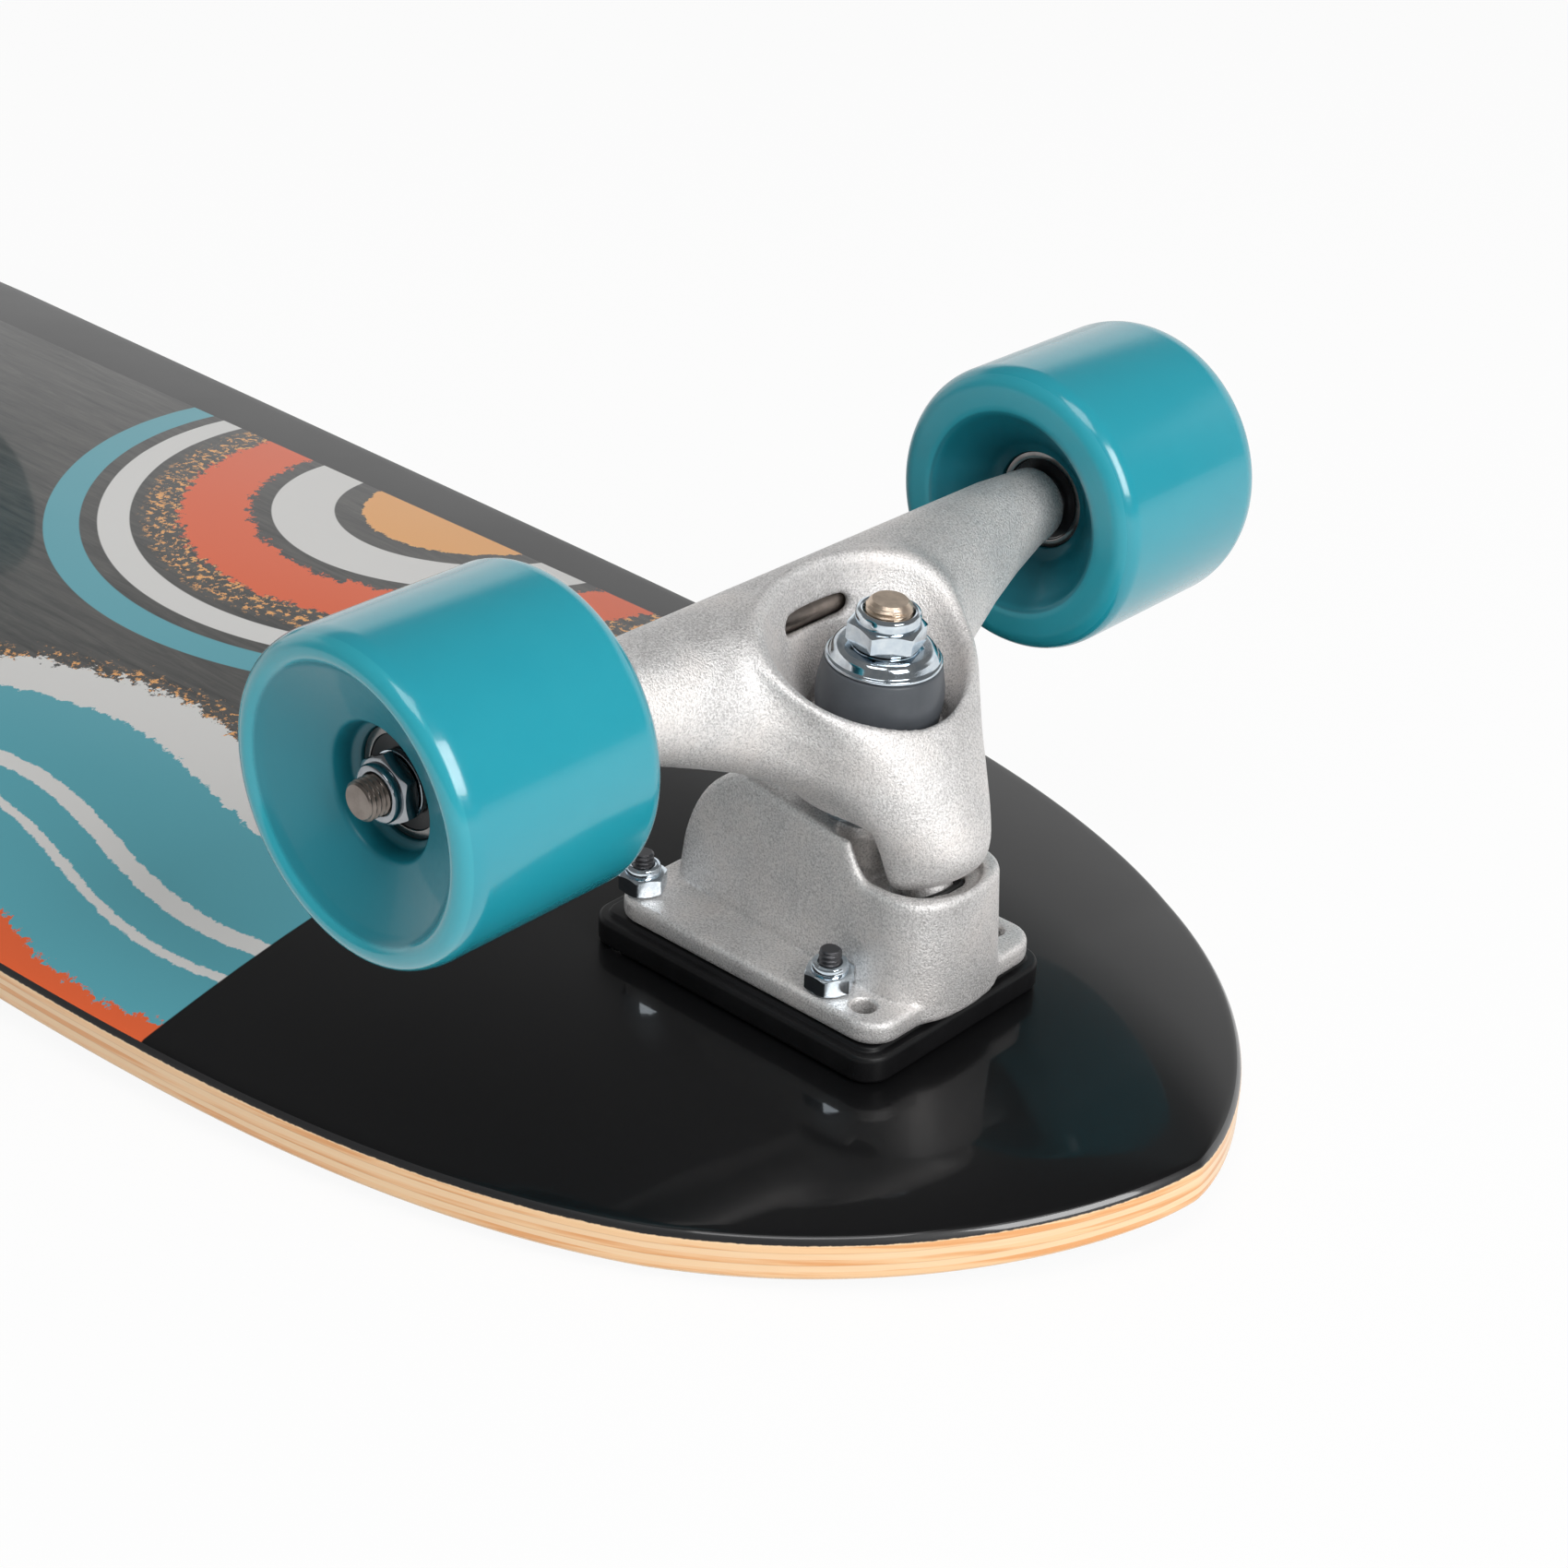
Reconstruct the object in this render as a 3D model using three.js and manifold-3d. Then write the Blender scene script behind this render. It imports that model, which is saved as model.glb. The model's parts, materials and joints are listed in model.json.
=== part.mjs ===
// A surf skateboard that lies upside down on its deck, so that its wheels point up.
// Lengths are millimetres. +X runs towards the nose, +Z points up, and left is the rider's left
// when standing on the board, which is -Y here. The origin is the middle of the board's base.
//
// A truck is built in its own frame: X = 0 and Y = 0 at the middle of its four mounting bolts,
// Z = 0 on top of its flange. The front truck's frame is also the frame of the whole board until
// the board is laid down on the floor, at the end of this file.

import * as THREE from 'three';
import { mergeVertices } from 'three/addons/utils/BufferGeometryUtils.js';
import Module from 'manifold-3d';

// Fits
const gap = 0.3; // between pieces that touch
const overrun = 6; // how far a cut runs past what it cuts

// Deck, with its outline, its concave and the kick of its tail
const deckThickness = 10.2;
const deckEdgeRound = 2.4;
const noseOverhang = 107; // from the middle of the front truck's bolts to the tip
const tailOverhang = 195.02; // from the middle of the rear truck's bolts to the tip
const railHalfWidth = 114.5;
const railSpreadShare = 0.0286; // how much wider the board's half is for each length from the nose
const noseTaperLength = 488.7;
const noseTaperPowerShare = 6.69;
const noseRoundPowerShare = 1.443;
const tailTaperLength = 230;
const tailTaperPowerShare = 2.2;
const tailRoundPowerShare = 2.8;
const tipTrim = 0.6;
const concaveDepth = 6.8;
const concaveHalfWidth = 85; // the concave has its full depth where the board's half is this wide
const concaveFlatShare = 0.27;
const kickOffset = 45; // from the middle of the rear truck's bolts to the start of the kick
const kickRadius = 120;
const kickAngle = 11;
const noseStationShares = [0, 0.004, 0.014, 0.03, 0.055, 0.09, 0.14, 0.21, 0.32, 0.5, 0.75, 1];
const kickStationShares = [0, 0.5, 1];
const tailStationShares = [1, 0.85, 0.45, 0.33, 0.22, 0.13, 0.07, 0.03, 0.008, 0];
const acrossShares = [0, 0.27, 0.55, 0.79, 1];

// Grip tape
const gripThickness = 1;
const gripInset = 2.2;

// Mounting bolts with their lock nuts, at the usual pitch, and the flange's two spare holes
const wheelbase = 457; // between the inner bolts of the two trucks
const boltPitchX = 53.98;
const boltPitchY = 41.3;
const spareHolePitchX = 63.5;
const boltRadius = 2.4;
const boltHeadRadius = 4.7;
const boltHeadHeight = 2.6;
const boltHeadSink = 0.5;
const boltStudHeight = 9.3; // above the flange
const lockNutFlats = 9.5;
const lockNutHexHeight = 4.2;
const lockNutCollarHeight = 2;
const lockNutCollarRadius = 3.9;

// Riser pad
const riserLength = 82;
const riserWidth = 57.6;
const riserThickness = 7.3;
const riserCorner = 6;
const riserBevel = 0.8;
const riserOffset = 5;

// Baseplate: flange, tower and cup housing
const flangeLength = 76;
const flangeWidth = 53;
const flangeThickness = 5.2;
const flangeCorner = 7;
const flangeOffset = 7;
const towerBackX = -26;
const towerBackHeight = 11.5;
const towerBackLean = 1.6;
const towerCrestX = -6;
const towerShoulderX = -20;
const towerShoulderHeight = 29;
const towerFrontX = 24.4;
const towerHalfWidth = 10.2;
const towerDraft = 1.6; // how much wider each side is at the flange than at the top
const notchRun = 2.6;
const housingEndX = 46.2;
const housingHalfWidth = 14.8;
const housingCorner = 7;
const housingRimX = 30.5;
const housingRimHeight = 21.2;
const housingRimBevel = 2.5;
const pocketDepth = 3; // below the hanger's foot
const pocketWall = 2.6;
const pocketHalfWidth = 9.6;

// Kingpin and what it clamps, by height along its leaning axis
const kingpinX = 15; // where the axis crosses the top of the flange
const kingpinLean = 4.2;
const kingpinRadius = 4.76;
const kingpinTop = 78.9;
const kingpinHeadFlats = 14.3;
const kingpinHeadHeight = 6;
const kingpinHeadSink = 4.6; // of its face below the top of the flange
const seatHeight = 31;
const seatRadius = 9.5;
const washerThickness = 1.5;
const boardWasherRadius = 10;
const boardBushingHeight = 9.1;
const boardBushingFootRadius = 9.8;
const boardBushingTopRadius = 12;
const ringThickness = 7.7;
const roadBushingHeight = 13.6;
const roadBushingFootRadius = 13.4;
const roadBushingTopRadius = 12.2;
const cupWasherRadius = 11.9;
const cupWasherTopRadius = 8.6;
const cupWasherEdge = 1;
const cupWasherHeight = 3;
const kingpinNutFlats = 14.3;
const kingpinNutHexHeight = 5.4;
const kingpinNutCollarHeight = 2.2;
const kingpinNutCollarRadius = 6.6;

// Pivot: a ball ended pin on the hanger in a cup in the baseplate
const pivotX = 35.5;
const pivotHeight = 17.5;
const pivotRadius = 5;
const cupRadius = 7.2;
const cupFloor = 1.5;
const cupRimAbovePivot = 0.4;
const pinLength = 7.6; // from the middle of its ball

// Hanger: arms round the axle, a nose that runs down to the pivot, and a bowl round the kingpin
const axleX = -3.7;
const axleHeight = 68.35;
const armRadius = 9;
const armEndRadius = 8;
const armReach = 38.5; // from the axle's axis to the arms' lowest edge, along their slope
const armReachRadius = 8.5;
const armSlope = 50; // below level, towards the nose
const armStationShares = [0, 0.18, 0.28, 0.38, 0.5, 0.63, 0.76, 0.9, 0.97];
const armReachShares = [1, 0.98, 0.86, 0.71, 0.57, 0.44, 0.34, 0.25, 0.25];
const ringRadius = 17.5;
const ringSkirt = 5.5; // below the board side seat
const ringBoreRadius = 7;
const boardWellRadius = 13.5;
const roadWellRadius = 14.5;
const roadWellDepth = 3.5;
const rimX = 16.5;
const rimHeight = 67.2;
const rimTilt = 38;
const rimHalfLength = 21.5;
const rimHalfWidth = 27.2;
const rimWall = 1.8;
const footX = 33.2;
const footHeight = 22.3;
const footTilt = -15;
const footRadius = 10.2;
const noseXShares = [0, -0.07, -0.01, 0.23, 0.45, 0.65, 1]; // from the foot to the rim
const noseHeightShares = [0, 0.085, 0.2, 0.33, 0.48, 0.69, 1];
const noseTiltShares = [0, 0.13, 0.28, 0.38, 0.51, 0.77, 1];
const noseLengthShares = [0, 0.15, 0.27, 0.49, 0.63, 0.8, 1];
const noseWidthShares = [0, 0.1, 0.18, 0.34, 0.49, 0.6, 1];
const neckBackX = 27.5;
const steerRange = 20;
const slotLength = 19;
const slotHeight = 5;
const slotDepth = 8;

// Axle, and what turns on it: wheels on two bearings each, a spacer, washers and a lock nut
const axleRadius = 4;
const axleLength = 230;
const axleBevel = 0.8;
const axleEndProud = 3.8; // of the lock nut
const bearingOffset = 1.2; // of the middle of both bearings from the wheel's middle, inwards
const bearingRadius = 11;
const bearingWidth = 7;
const spacerLength = 10;
const spacerRadius = 6.5;
const speedWasherRadius = 6.6;
const speedWasherThickness = 1;
const axleNutFlats = 12.7;
const axleNutHexHeight = 3.4;
const axleNutCollarHeight = 1.7;
const axleNutCollarRadius = 5.7;

// Wheel
const wheelRadius = 32.5;
const wheelWidth = 49.6;
const wheelLip = 2.4;
const wheelCrestWidth = 1.6;
const wheelDishWall = 2.2; // depth of the steep wall inside the lip
const wheelDishWallRun = 1.2;
const wheelDishDepth = 8.5; // from the face to the edge of the hub recess
const hubRecessRadius = 13.3;
const innerRecessRadius = 22;
const innerRecessRun = 1.3; // from the recess's floor to the bearing's seat
const wheelRidgeRadius = 9.3; // of the ridge between the bearings

// How finely round shapes are cut
const wheelSides = 22;
const roundSides = 18;
const bearingSides = 16;
const smallSides = 12;
const boltSides = 8;
const hexSides = 6;
const bevelSteps = 1;
const cornerSteps = 3;

// Places worked out from the sizes above
const level = THREE.MathUtils.degToRad(90);
const flangeBottom = -flangeThickness;
const riserTop = flangeBottom - gap;
const riserBottom = riserTop - riserThickness;
const deckTop = riserBottom - gap;
const deckBottom = deckTop - deckThickness;
const gripTop = deckBottom - gap;
const gripBottom = gripTop - gripThickness;
const noseX = noseOverhang;
const rearTruckX = -(wheelbase + boltPitchX);
const tailX = rearTruckX - tailOverhang;
const kickX = rearTruckX - kickOffset;
const kickTurn = THREE.MathUtils.degToRad(kickAngle);

const boardWasherFoot = seatHeight + gap;
const boardBushingFoot = boardWasherFoot + washerThickness + gap;
const ringFoot = boardBushingFoot + boardBushingHeight + gap;
const ringTop = ringFoot + ringThickness;
const roadBushingFoot = ringTop + gap;
const cupWasherFoot = roadBushingFoot + roadBushingHeight + gap;
const kingpinNutFoot = cupWasherFoot + cupWasherHeight + gap;
const kingpinFit = kingpinRadius + gap;
const kingpinTurn = THREE.MathUtils.degToRad(kingpinLean);

const axleNutFoot = axleLength / 2 - axleEndProud - axleNutCollarHeight - axleNutHexHeight;
const outerWasherFoot = axleNutFoot - gap - speedWasherThickness;
const bearingOuterFace = outerWasherFoot - gap;
const bearingMiddle = bearingOuterFace - bearingWidth - spacerLength / 2;
const bearingInnerFace = bearingMiddle - spacerLength / 2 - bearingWidth;
const innerWasherFoot = bearingInnerFace - gap - speedWasherThickness;
const wheelMiddle = bearingMiddle + bearingOffset;
const armEnd = innerWasherFoot - gap;
const axleFit = axleRadius + gap;

// Materials
const finishes = {
  lacquer: new THREE.MeshStandardMaterial({ color: 0x1c1c1e, roughness: 0.25 }),
  grit: new THREE.MeshStandardMaterial({ color: 0x202020, roughness: 0.95 }),
  moulding: new THREE.MeshStandardMaterial({ color: 0x17171a, roughness: 0.5 }),
  casting: new THREE.MeshStandardMaterial({ color: 0xb9b7b4, roughness: 0.45, metalness: 1 }),
  steel: new THREE.MeshStandardMaterial({ color: 0x9a8f86, roughness: 0.35, metalness: 1 }),
  zinc: new THREE.MeshStandardMaterial({ color: 0xc8cdd2, roughness: 0.2, metalness: 1 }),
  blackSteel: new THREE.MeshStandardMaterial({ color: 0x2a2a2c, roughness: 0.4, metalness: 1 }),
  urethane: new THREE.MeshStandardMaterial({ color: 0x2d9baf, roughness: 0.2 }),
  bushing: new THREE.MeshStandardMaterial({ color: 0x4b4d50, roughness: 0.45 }),
  liner: new THREE.MeshStandardMaterial({ color: 0x141414, roughness: 0.6 }),
};

const wasm = await Module();
wasm.setup();

// Turns a closed geometry into a solid that can be joined and cut.
function solid(geometry) {
  const bare = geometry.clone();
  bare.deleteAttribute('normal');
  bare.deleteAttribute('uv');
  const merged = mergeVertices(bare, gap / 1000);
  return new wasm.Manifold(new wasm.Mesh({
    numProp: 3,
    vertProperties: new Float32Array(merged.attributes.position.array),
    triVerts: new Uint32Array(merged.index.array),
  }));
}

// Turns a solid back into a geometry.
function geometryOf(body) {
  const mesh = body.getMesh();
  const geometry = new THREE.BufferGeometry();
  geometry.setAttribute('position', new THREE.BufferAttribute(mesh.vertProperties, 3));
  geometry.setIndex(new THREE.BufferAttribute(mesh.triVerts, 1));
  geometry.computeVertexNormals();
  return geometry;
}

// Joins geometries, then takes others away.
function carve(joined, removed = []) {
  let body = joined.map(solid).reduce((sum, next) => sum.add(next));
  for (const tool of removed) body = body.subtract(solid(tool));
  return geometryOf(body);
}

// Closes rings of equally many points into one body: a skin between them and a fan at each end.
function loft(rings) {
  const count = rings[0].length;
  const middles = [rings[0], rings[rings.length - 1]].map((ring) => (
    ring.reduce((sum, point) => sum.add(point), new THREE.Vector3()).divideScalar(count)
  ));
  const points = [...rings.flat(), ...middles];
  const first = rings.length * count;
  const faces = [];
  for (let i = 0; i < count; i += 1) {
    const j = (i + 1) % count;
    for (let row = 0; row < rings.length - 1; row += 1) {
      const low = row * count;
      const high = low + count;
      faces.push(low + i, low + j, high + j, low + i, high + j, high + i);
    }
    faces.push(first, j, i, first + 1, first - count + i, first - count + j);
  }
  const geometry = new THREE.BufferGeometry().setFromPoints(points);
  geometry.setIndex(faces);
  geometry.computeVertexNormals();
  return geometry;
}

// Turns a profile of [radius, height] points round +Z. Seen with the radius to the right, the
// points run anticlockwise, and a profile that doesn't touch the axis is closed on itself.
function turned(profile, sides) {
  const points = profile.map(([radius, height]) => new THREE.Vector2(radius, height));
  const closed = points[0].x > 0 ? [...points, points[0]] : points;
  return new THREE.LatheGeometry(closed, sides).rotateX(level);
}

// A plain round bar or ring round +Z.
function ringBar(inner, outer, foot, top, sides) {
  if (inner === 0) return turned([[0, foot], [outer, foot], [outer, top], [0, top]], sides);
  return turned([[inner, foot], [outer, foot], [outer, top], [inner, top]], sides);
}

// A six sided bar round +Z, by its width across flats.
function hexBar(flats, foot, top) {
  return ringBar(0, flats / Math.sqrt(3), foot, top, hexSides);
}

// A lock nut round +Z: a hexagon under a round collar, with a bore.
function lockNut(flats, hexHeight, collarRadius, collarHeight, bore, foot) {
  const top = foot + hexHeight + collarHeight;
  const collar = ringBar(0, collarRadius, foot, top, smallSides);
  return carve([hexBar(flats, foot, foot + hexHeight), collar],
    [ringBar(0, bore, foot - overrun, top + overrun, smallSides)]);
}

// A rectangle with round corners, about [x, 0].
function roundedRectangle(x, length, width, corner) {
  const [left, right, half] = [x - length / 2, x + length / 2, width / 2];
  const shape = new THREE.Shape();
  shape.absarc(right - corner, half - corner, corner, 0, level);
  shape.absarc(left + corner, half - corner, corner, level, 2 * level);
  shape.absarc(left + corner, corner - half, corner, 2 * level, 3 * level);
  shape.absarc(right - corner, corner - half, corner, 3 * level, 4 * level);
  shape.closePath();
  return shape;
}

// A flat shape drawn up from one height to another, with an optional bevel within them.
function plate(shape, foot, top, bevel = 0) {
  const geometry = new THREE.ExtrudeGeometry(shape, {
    depth: top - foot - 2 * bevel,
    curveSegments: cornerSteps,
    bevelEnabled: bevel > 0,
    bevelThickness: bevel,
    bevelSize: bevel,
    bevelOffset: -bevel,
    bevelSegments: bevelSteps,
  });
  return geometry.translate(0, 0, foot + bevel);
}

// Places a geometry that was made round +Z on an axis that starts at [x, 0, z] and leans to +X.
function onAxis(geometry, x, z, turn) {
  return geometry.rotateY(turn).translate(x, 0, z);
}

const onKingpin = (geometry) => onAxis(geometry, kingpinX, 0, kingpinTurn);

// The point of the kingpin's axis at a height along it.
function kingpinPoint(height) {
  const lean = new THREE.Matrix4().makeRotationY(kingpinTurn);
  const point = new THREE.Vector3(0, 0, height).applyMatrix4(lean);
  return point.add(new THREE.Vector3(kingpinX, 0, 0));
}

// How high the tower's seat, which is square to the kingpin, lies at x.
function seatLine(x) {
  const middle = kingpinPoint(seatHeight);
  return middle.z - (x - middle.x) * Math.tan(kingpinTurn);
}

// The hanger steers about the line from the pivot to the middle of its ring.
const steerMiddle = kingpinPoint((ringFoot + ringTop) / 2);
const steerTurn = -Math.atan2(pivotX - steerMiddle.x, steerMiddle.z - pivotHeight);
const onSteer = (geometry) => onAxis(geometry, pivotX, pivotHeight, steerTurn);

// Deck

// How wide a rounded end still is, for the share of its taper that lies between it and the tip.
function roundedEnd(share, taperPower, roundPower) {
  return (1 - (1 - Math.min(share, 1)) ** taperPower) ** (1 / roundPower);
}

function deckHalfWidth(x) {
  const fromNose = noseX + tipTrim - x;
  const fromTail = x - tailX + tipTrim;
  const nose = roundedEnd(fromNose / noseTaperLength, noseTaperPowerShare, noseRoundPowerShare);
  const tail = roundedEnd(fromTail / tailTaperLength, tailTaperPowerShare, tailRoundPowerShare);
  return (railHalfWidth + railSpreadShare * fromNose) * nose * tail;
}

// How far the kick has taken the deck's middle down at x.
function kickDrop(x) {
  const past = Math.max(0, kickX - x);
  const bend = kickRadius * Math.sin(kickTurn);
  if (past < bend) return kickRadius - Math.sqrt(kickRadius ** 2 - past ** 2);
  return kickRadius * (1 - Math.cos(kickTurn)) + (past - bend) * Math.tan(kickTurn);
}

// How far the concave has taken the deck down at x, at a share of its half width.
function concaveDrop(x, share) {
  const depth = concaveDepth * Math.min(1, deckHalfWidth(x) / concaveHalfWidth);
  const rise = Math.max(0, share - concaveFlatShare) / (1 - concaveFlatShare);
  return depth * rise ** 2;
}

// Where the deck is cut into cross sections, from the tail to the nose.
function deckStations() {
  const bend = kickRadius * Math.sin(kickTurn);
  const stations = [
    ...noseStationShares.map((share) => noseX - share * noseTaperLength),
    ...kickStationShares.map((share) => kickX - share * bend),
    ...tailStationShares.map((share) => tailX + share * tailTaperLength),
  ];
  return stations.sort((a, b) => a - b);
}

// One cross section of a board whose upper face lies `below` the deck's.
function boardSection(x, inset, below, thickness, round) {
  const half = deckHalfWidth(x);
  const edge = half - inset;
  const top = deckTop - below - kickDrop(x);
  const face = acrossShares.map((share) => {
    const y = share * (edge - round);
    return [y, -concaveDrop(x, y / half)];
  });
  const rail = face[face.length - 1][1];
  const side = round > 0 ? [[edge, rail - round], [edge, rail + round - thickness]] : [];
  const right = [
    ...face.map(([y, drop]) => [y, drop]),
    ...side,
    ...face.map(([y, drop]) => [y, drop - thickness]).reverse(),
  ];
  const left = right.slice(1, -1).reverse().map(([y, z]) => [-y, z]);
  return [...right, ...left].map(([y, z]) => new THREE.Vector3(x, y, top + z)).reverse();
}

function board(inset, below, thickness, round) {
  const stations = deckStations();
  stations[0] += inset;
  stations[stations.length - 1] -= inset;
  return loft(stations.map((x) => boardSection(x, inset, below, thickness, round)));
}

// The places of the four mounting bolts of a truck.
function boltPlaces(truckX) {
  const [half, side] = [boltPitchX / 2, boltPitchY / 2];
  const places = [[half, -side], [half, side], [-half, -side], [-half, side]];
  return places.map(([x, y]) => [truckX + x, y]);
}

// The countersunk bolt's own outline, grown by a clearance: the hole that takes it.
function boltHole(x, y, clearance, top) {
  const face = gripBottom + boltHeadSink;
  const radius = boltRadius + clearance;
  const profile = [
    [0, face - overrun], [boltHeadRadius + clearance, face - overrun],
    [boltHeadRadius + clearance, face], [radius, face + boltHeadHeight], [radius, top], [0, top],
  ];
  return turned(profile, boltSides).translate(x, y, 0);
}

function boltHoles() {
  const places = [0, rearTruckX].flatMap(boltPlaces);
  return places.map(([x, y]) => boltHole(x, y, gap, deckTop + overrun));
}

function deckGeometry() {
  return carve([board(0, 0, deckThickness, deckEdgeRound)], boltHoles());
}

function gripGeometry() {
  return carve([board(gripInset, deckTop - gripTop, gripThickness, 0)], boltHoles());
}

// Truck, from the deck outwards

function mountingBoltGeometry(x, y) {
  const face = gripBottom + boltHeadSink;
  const screw = turned([
    [0, face], [boltHeadRadius, face], [boltRadius, face + boltHeadHeight],
    [boltRadius, boltStudHeight], [0, boltStudHeight],
  ], boltSides);
  const hexTop = gap + lockNutHexHeight;
  const hexagon = hexBar(lockNutFlats, gap, hexTop).rotateZ(level / 3);
  const collar = ringBar(0, lockNutCollarRadius, gap, hexTop + lockNutCollarHeight, boltSides);
  return carve([screw, hexagon, collar]).translate(x, y, 0);
}

// Plain holes for a truck's bolts, up through the riser and the flange.
function plainBoltHoles(places) {
  const bar = () => ringBar(0, boltRadius + gap, riserBottom - overrun, overrun, boltSides);
  return places.map(([x, y]) => bar().translate(x, y, 0));
}

function riserGeometry() {
  const outline = roundedRectangle(riserOffset, riserLength, riserWidth, riserCorner);
  return carve([plate(outline, riserBottom, riserTop, riserBevel)], plainBoltHoles(boltPlaces(0)));
}

// The tower's outline seen from above, at one height: narrow at the back, round at the nose end.
function towerPlan(height, spread) {
  const half = housingHalfWidth + spread;
  const end = housingEndX + spread;
  const plan = new THREE.Shape();
  plan.moveTo(towerBackX, -towerHalfWidth - spread);
  plan.lineTo(end - housingCorner, -half);
  plan.quadraticCurveTo(end, -half, end, 0);
  plan.quadraticCurveTo(end, half, end - housingCorner, half);
  plan.lineTo(towerBackX, towerHalfWidth + spread);
  plan.closePath();
  const points = plan.getPoints(cornerSteps).slice(0, -1);
  return points.map((point) => new THREE.Vector3(point.x, point.y, height));
}

// The tower and cup housing: a side outline cut to a plan outline.
function towerGeometry() {
  const side = new THREE.Shape();
  side.moveTo(towerBackX, flangeBottom);
  side.lineTo(towerBackX, 0);
  side.lineTo(towerBackX + towerBackLean, towerBackHeight);
  side.quadraticCurveTo(towerShoulderX, towerShoulderHeight, towerCrestX, seatLine(towerCrestX));
  side.lineTo(towerFrontX, seatLine(towerFrontX));
  side.quadraticCurveTo(towerFrontX + notchRun, housingRimHeight, housingRimX, housingRimHeight);
  side.lineTo(housingEndX - housingRimBevel, housingRimHeight);
  side.lineTo(housingEndX + towerDraft, housingRimHeight - housingRimBevel);
  side.lineTo(housingEndX + towerDraft, flangeBottom);
  side.closePath();
  const reach = housingHalfWidth + overrun;
  const upright = plate(side, -reach, reach).rotateX(level);
  const standing = loft([
    towerPlan(flangeBottom, towerDraft), towerPlan(seatHeight + overrun, 0),
  ]);
  return geometryOf(solid(upright).intersect(solid(standing)));
}

// The room that the hanger's foot swings in: a round pocket and a box behind it.
function pocketGeometry() {
  const radius = housingHalfWidth - pocketWall;
  const floor = footHeight - pocketDepth;
  const turn = THREE.MathUtils.degToRad(footTilt);
  const round = ringBar(0, radius, -pocketDepth, seatHeight, roundSides);
  const bowl = onAxis(round, footX, footHeight, turn);
  const depth = footX - kingpinX;
  const height = seatHeight + overrun - floor;
  const box = new THREE.BoxGeometry(depth, 2 * pocketHalfWidth, height);
  return carve([bowl, box.translate(kingpinX + depth / 2, 0, floor + height / 2)]);
}

function baseplateGeometry() {
  const outline = roundedRectangle(flangeOffset, flangeLength, flangeWidth, flangeCorner);
  const flange = plate(outline, flangeBottom, 0, riserBevel);
  const hollowed = carve([towerGeometry()], [pocketGeometry()]);
  const seat = onKingpin(ringBar(0, seatRadius, 0, seatHeight, roundSides));
  const cupFoot = -pivotRadius - cupFloor - 2 * gap;
  const cup = onSteer(ringBar(0, cupRadius + gap, cupFoot, overrun, roundSides));
  const bore = onKingpin(ringBar(0, kingpinFit, -overrun, seatHeight + overrun, smallSides));
  const headRoom = kingpinHeadFlats / Math.sqrt(3) + 2 * gap;
  const headTop = kingpinHeadHeight - kingpinHeadSink + gap;
  const head = ringBar(0, headRoom, -kingpinHeadSink - overrun, headTop, smallSides);
  const spare = boltPlaces(0).slice(0, 2).map(([x, y]) => [x - boltPitchX + spareHolePitchX, y]);
  const holes = plainBoltHoles([...boltPlaces(0), ...spare]);
  return carve([flange, hollowed, seat], [cup, bore, onKingpin(head), ...holes]);
}

function pivotCupGeometry() {
  const bore = pivotRadius + gap;
  const diagonal = bore / Math.SQRT2;
  return onSteer(turned([
    [0, -bore - cupFloor], [cupRadius, -bore - cupFloor], [cupRadius, cupRimAbovePivot],
    [bore, cupRimAbovePivot], [bore, 0], [diagonal, -diagonal], [0, -bore],
  ], roundSides));
}

function kingpinGeometry() {
  const headTop = kingpinHeadHeight - kingpinHeadSink;
  const shaft = ringBar(0, kingpinRadius, 0, kingpinTop, smallSides);
  return onKingpin(carve([hexBar(kingpinHeadFlats, -kingpinHeadSink, headTop), shaft]));
}

function bushingGeometry(foot, height, lowRadius, highRadius) {
  const top = foot + height;
  return onKingpin(turned([
    [kingpinFit, foot], [lowRadius, foot], [highRadius, top], [kingpinFit, top],
  ], roundSides));
}

function boardWasherGeometry() {
  const top = boardWasherFoot + washerThickness;
  return onKingpin(ringBar(kingpinFit, boardWasherRadius, boardWasherFoot, top, roundSides));
}

function cupWasherGeometry() {
  const top = cupWasherFoot + cupWasherHeight;
  return onKingpin(turned([
    [kingpinFit, cupWasherFoot], [cupWasherRadius, cupWasherFoot],
    [cupWasherRadius, cupWasherFoot + cupWasherEdge], [cupWasherTopRadius, top], [kingpinFit, top],
  ], roundSides));
}

function kingpinNutGeometry() {
  return onKingpin(lockNut(kingpinNutFlats, kingpinNutHexHeight, kingpinNutCollarRadius,
    kingpinNutCollarHeight, kingpinFit, kingpinNutFoot));
}

// Hanger

// A half circle round [x, z] in a plane of constant y, bulging along an angle above +X.
function halfCircle(x, y, z, radius, bulge, steps) {
  return Array.from({ length: steps + 1 }, (_, i) => {
    const angle = bulge + level * (1 - 2 * (i / steps));
    return new THREE.Vector3(x + radius * Math.cos(angle), y, z + radius * Math.sin(angle));
  });
}

// The arms: round the axle at their ends, and drawn out down their slope towards the middle.
function armSection(y, reach, radius, lowRadius) {
  const slope = -THREE.MathUtils.degToRad(armSlope);
  const run = reach - lowRadius;
  const [lowX, lowZ] = [axleX + run * Math.cos(slope), axleHeight + run * Math.sin(slope)];
  const steps = bearingSides / 2 - 1;
  return [
    ...halfCircle(lowX, y, lowZ, lowRadius, slope, steps),
    ...halfCircle(axleX, y, axleHeight, radius, slope + 2 * level, steps),
  ];
}

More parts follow.
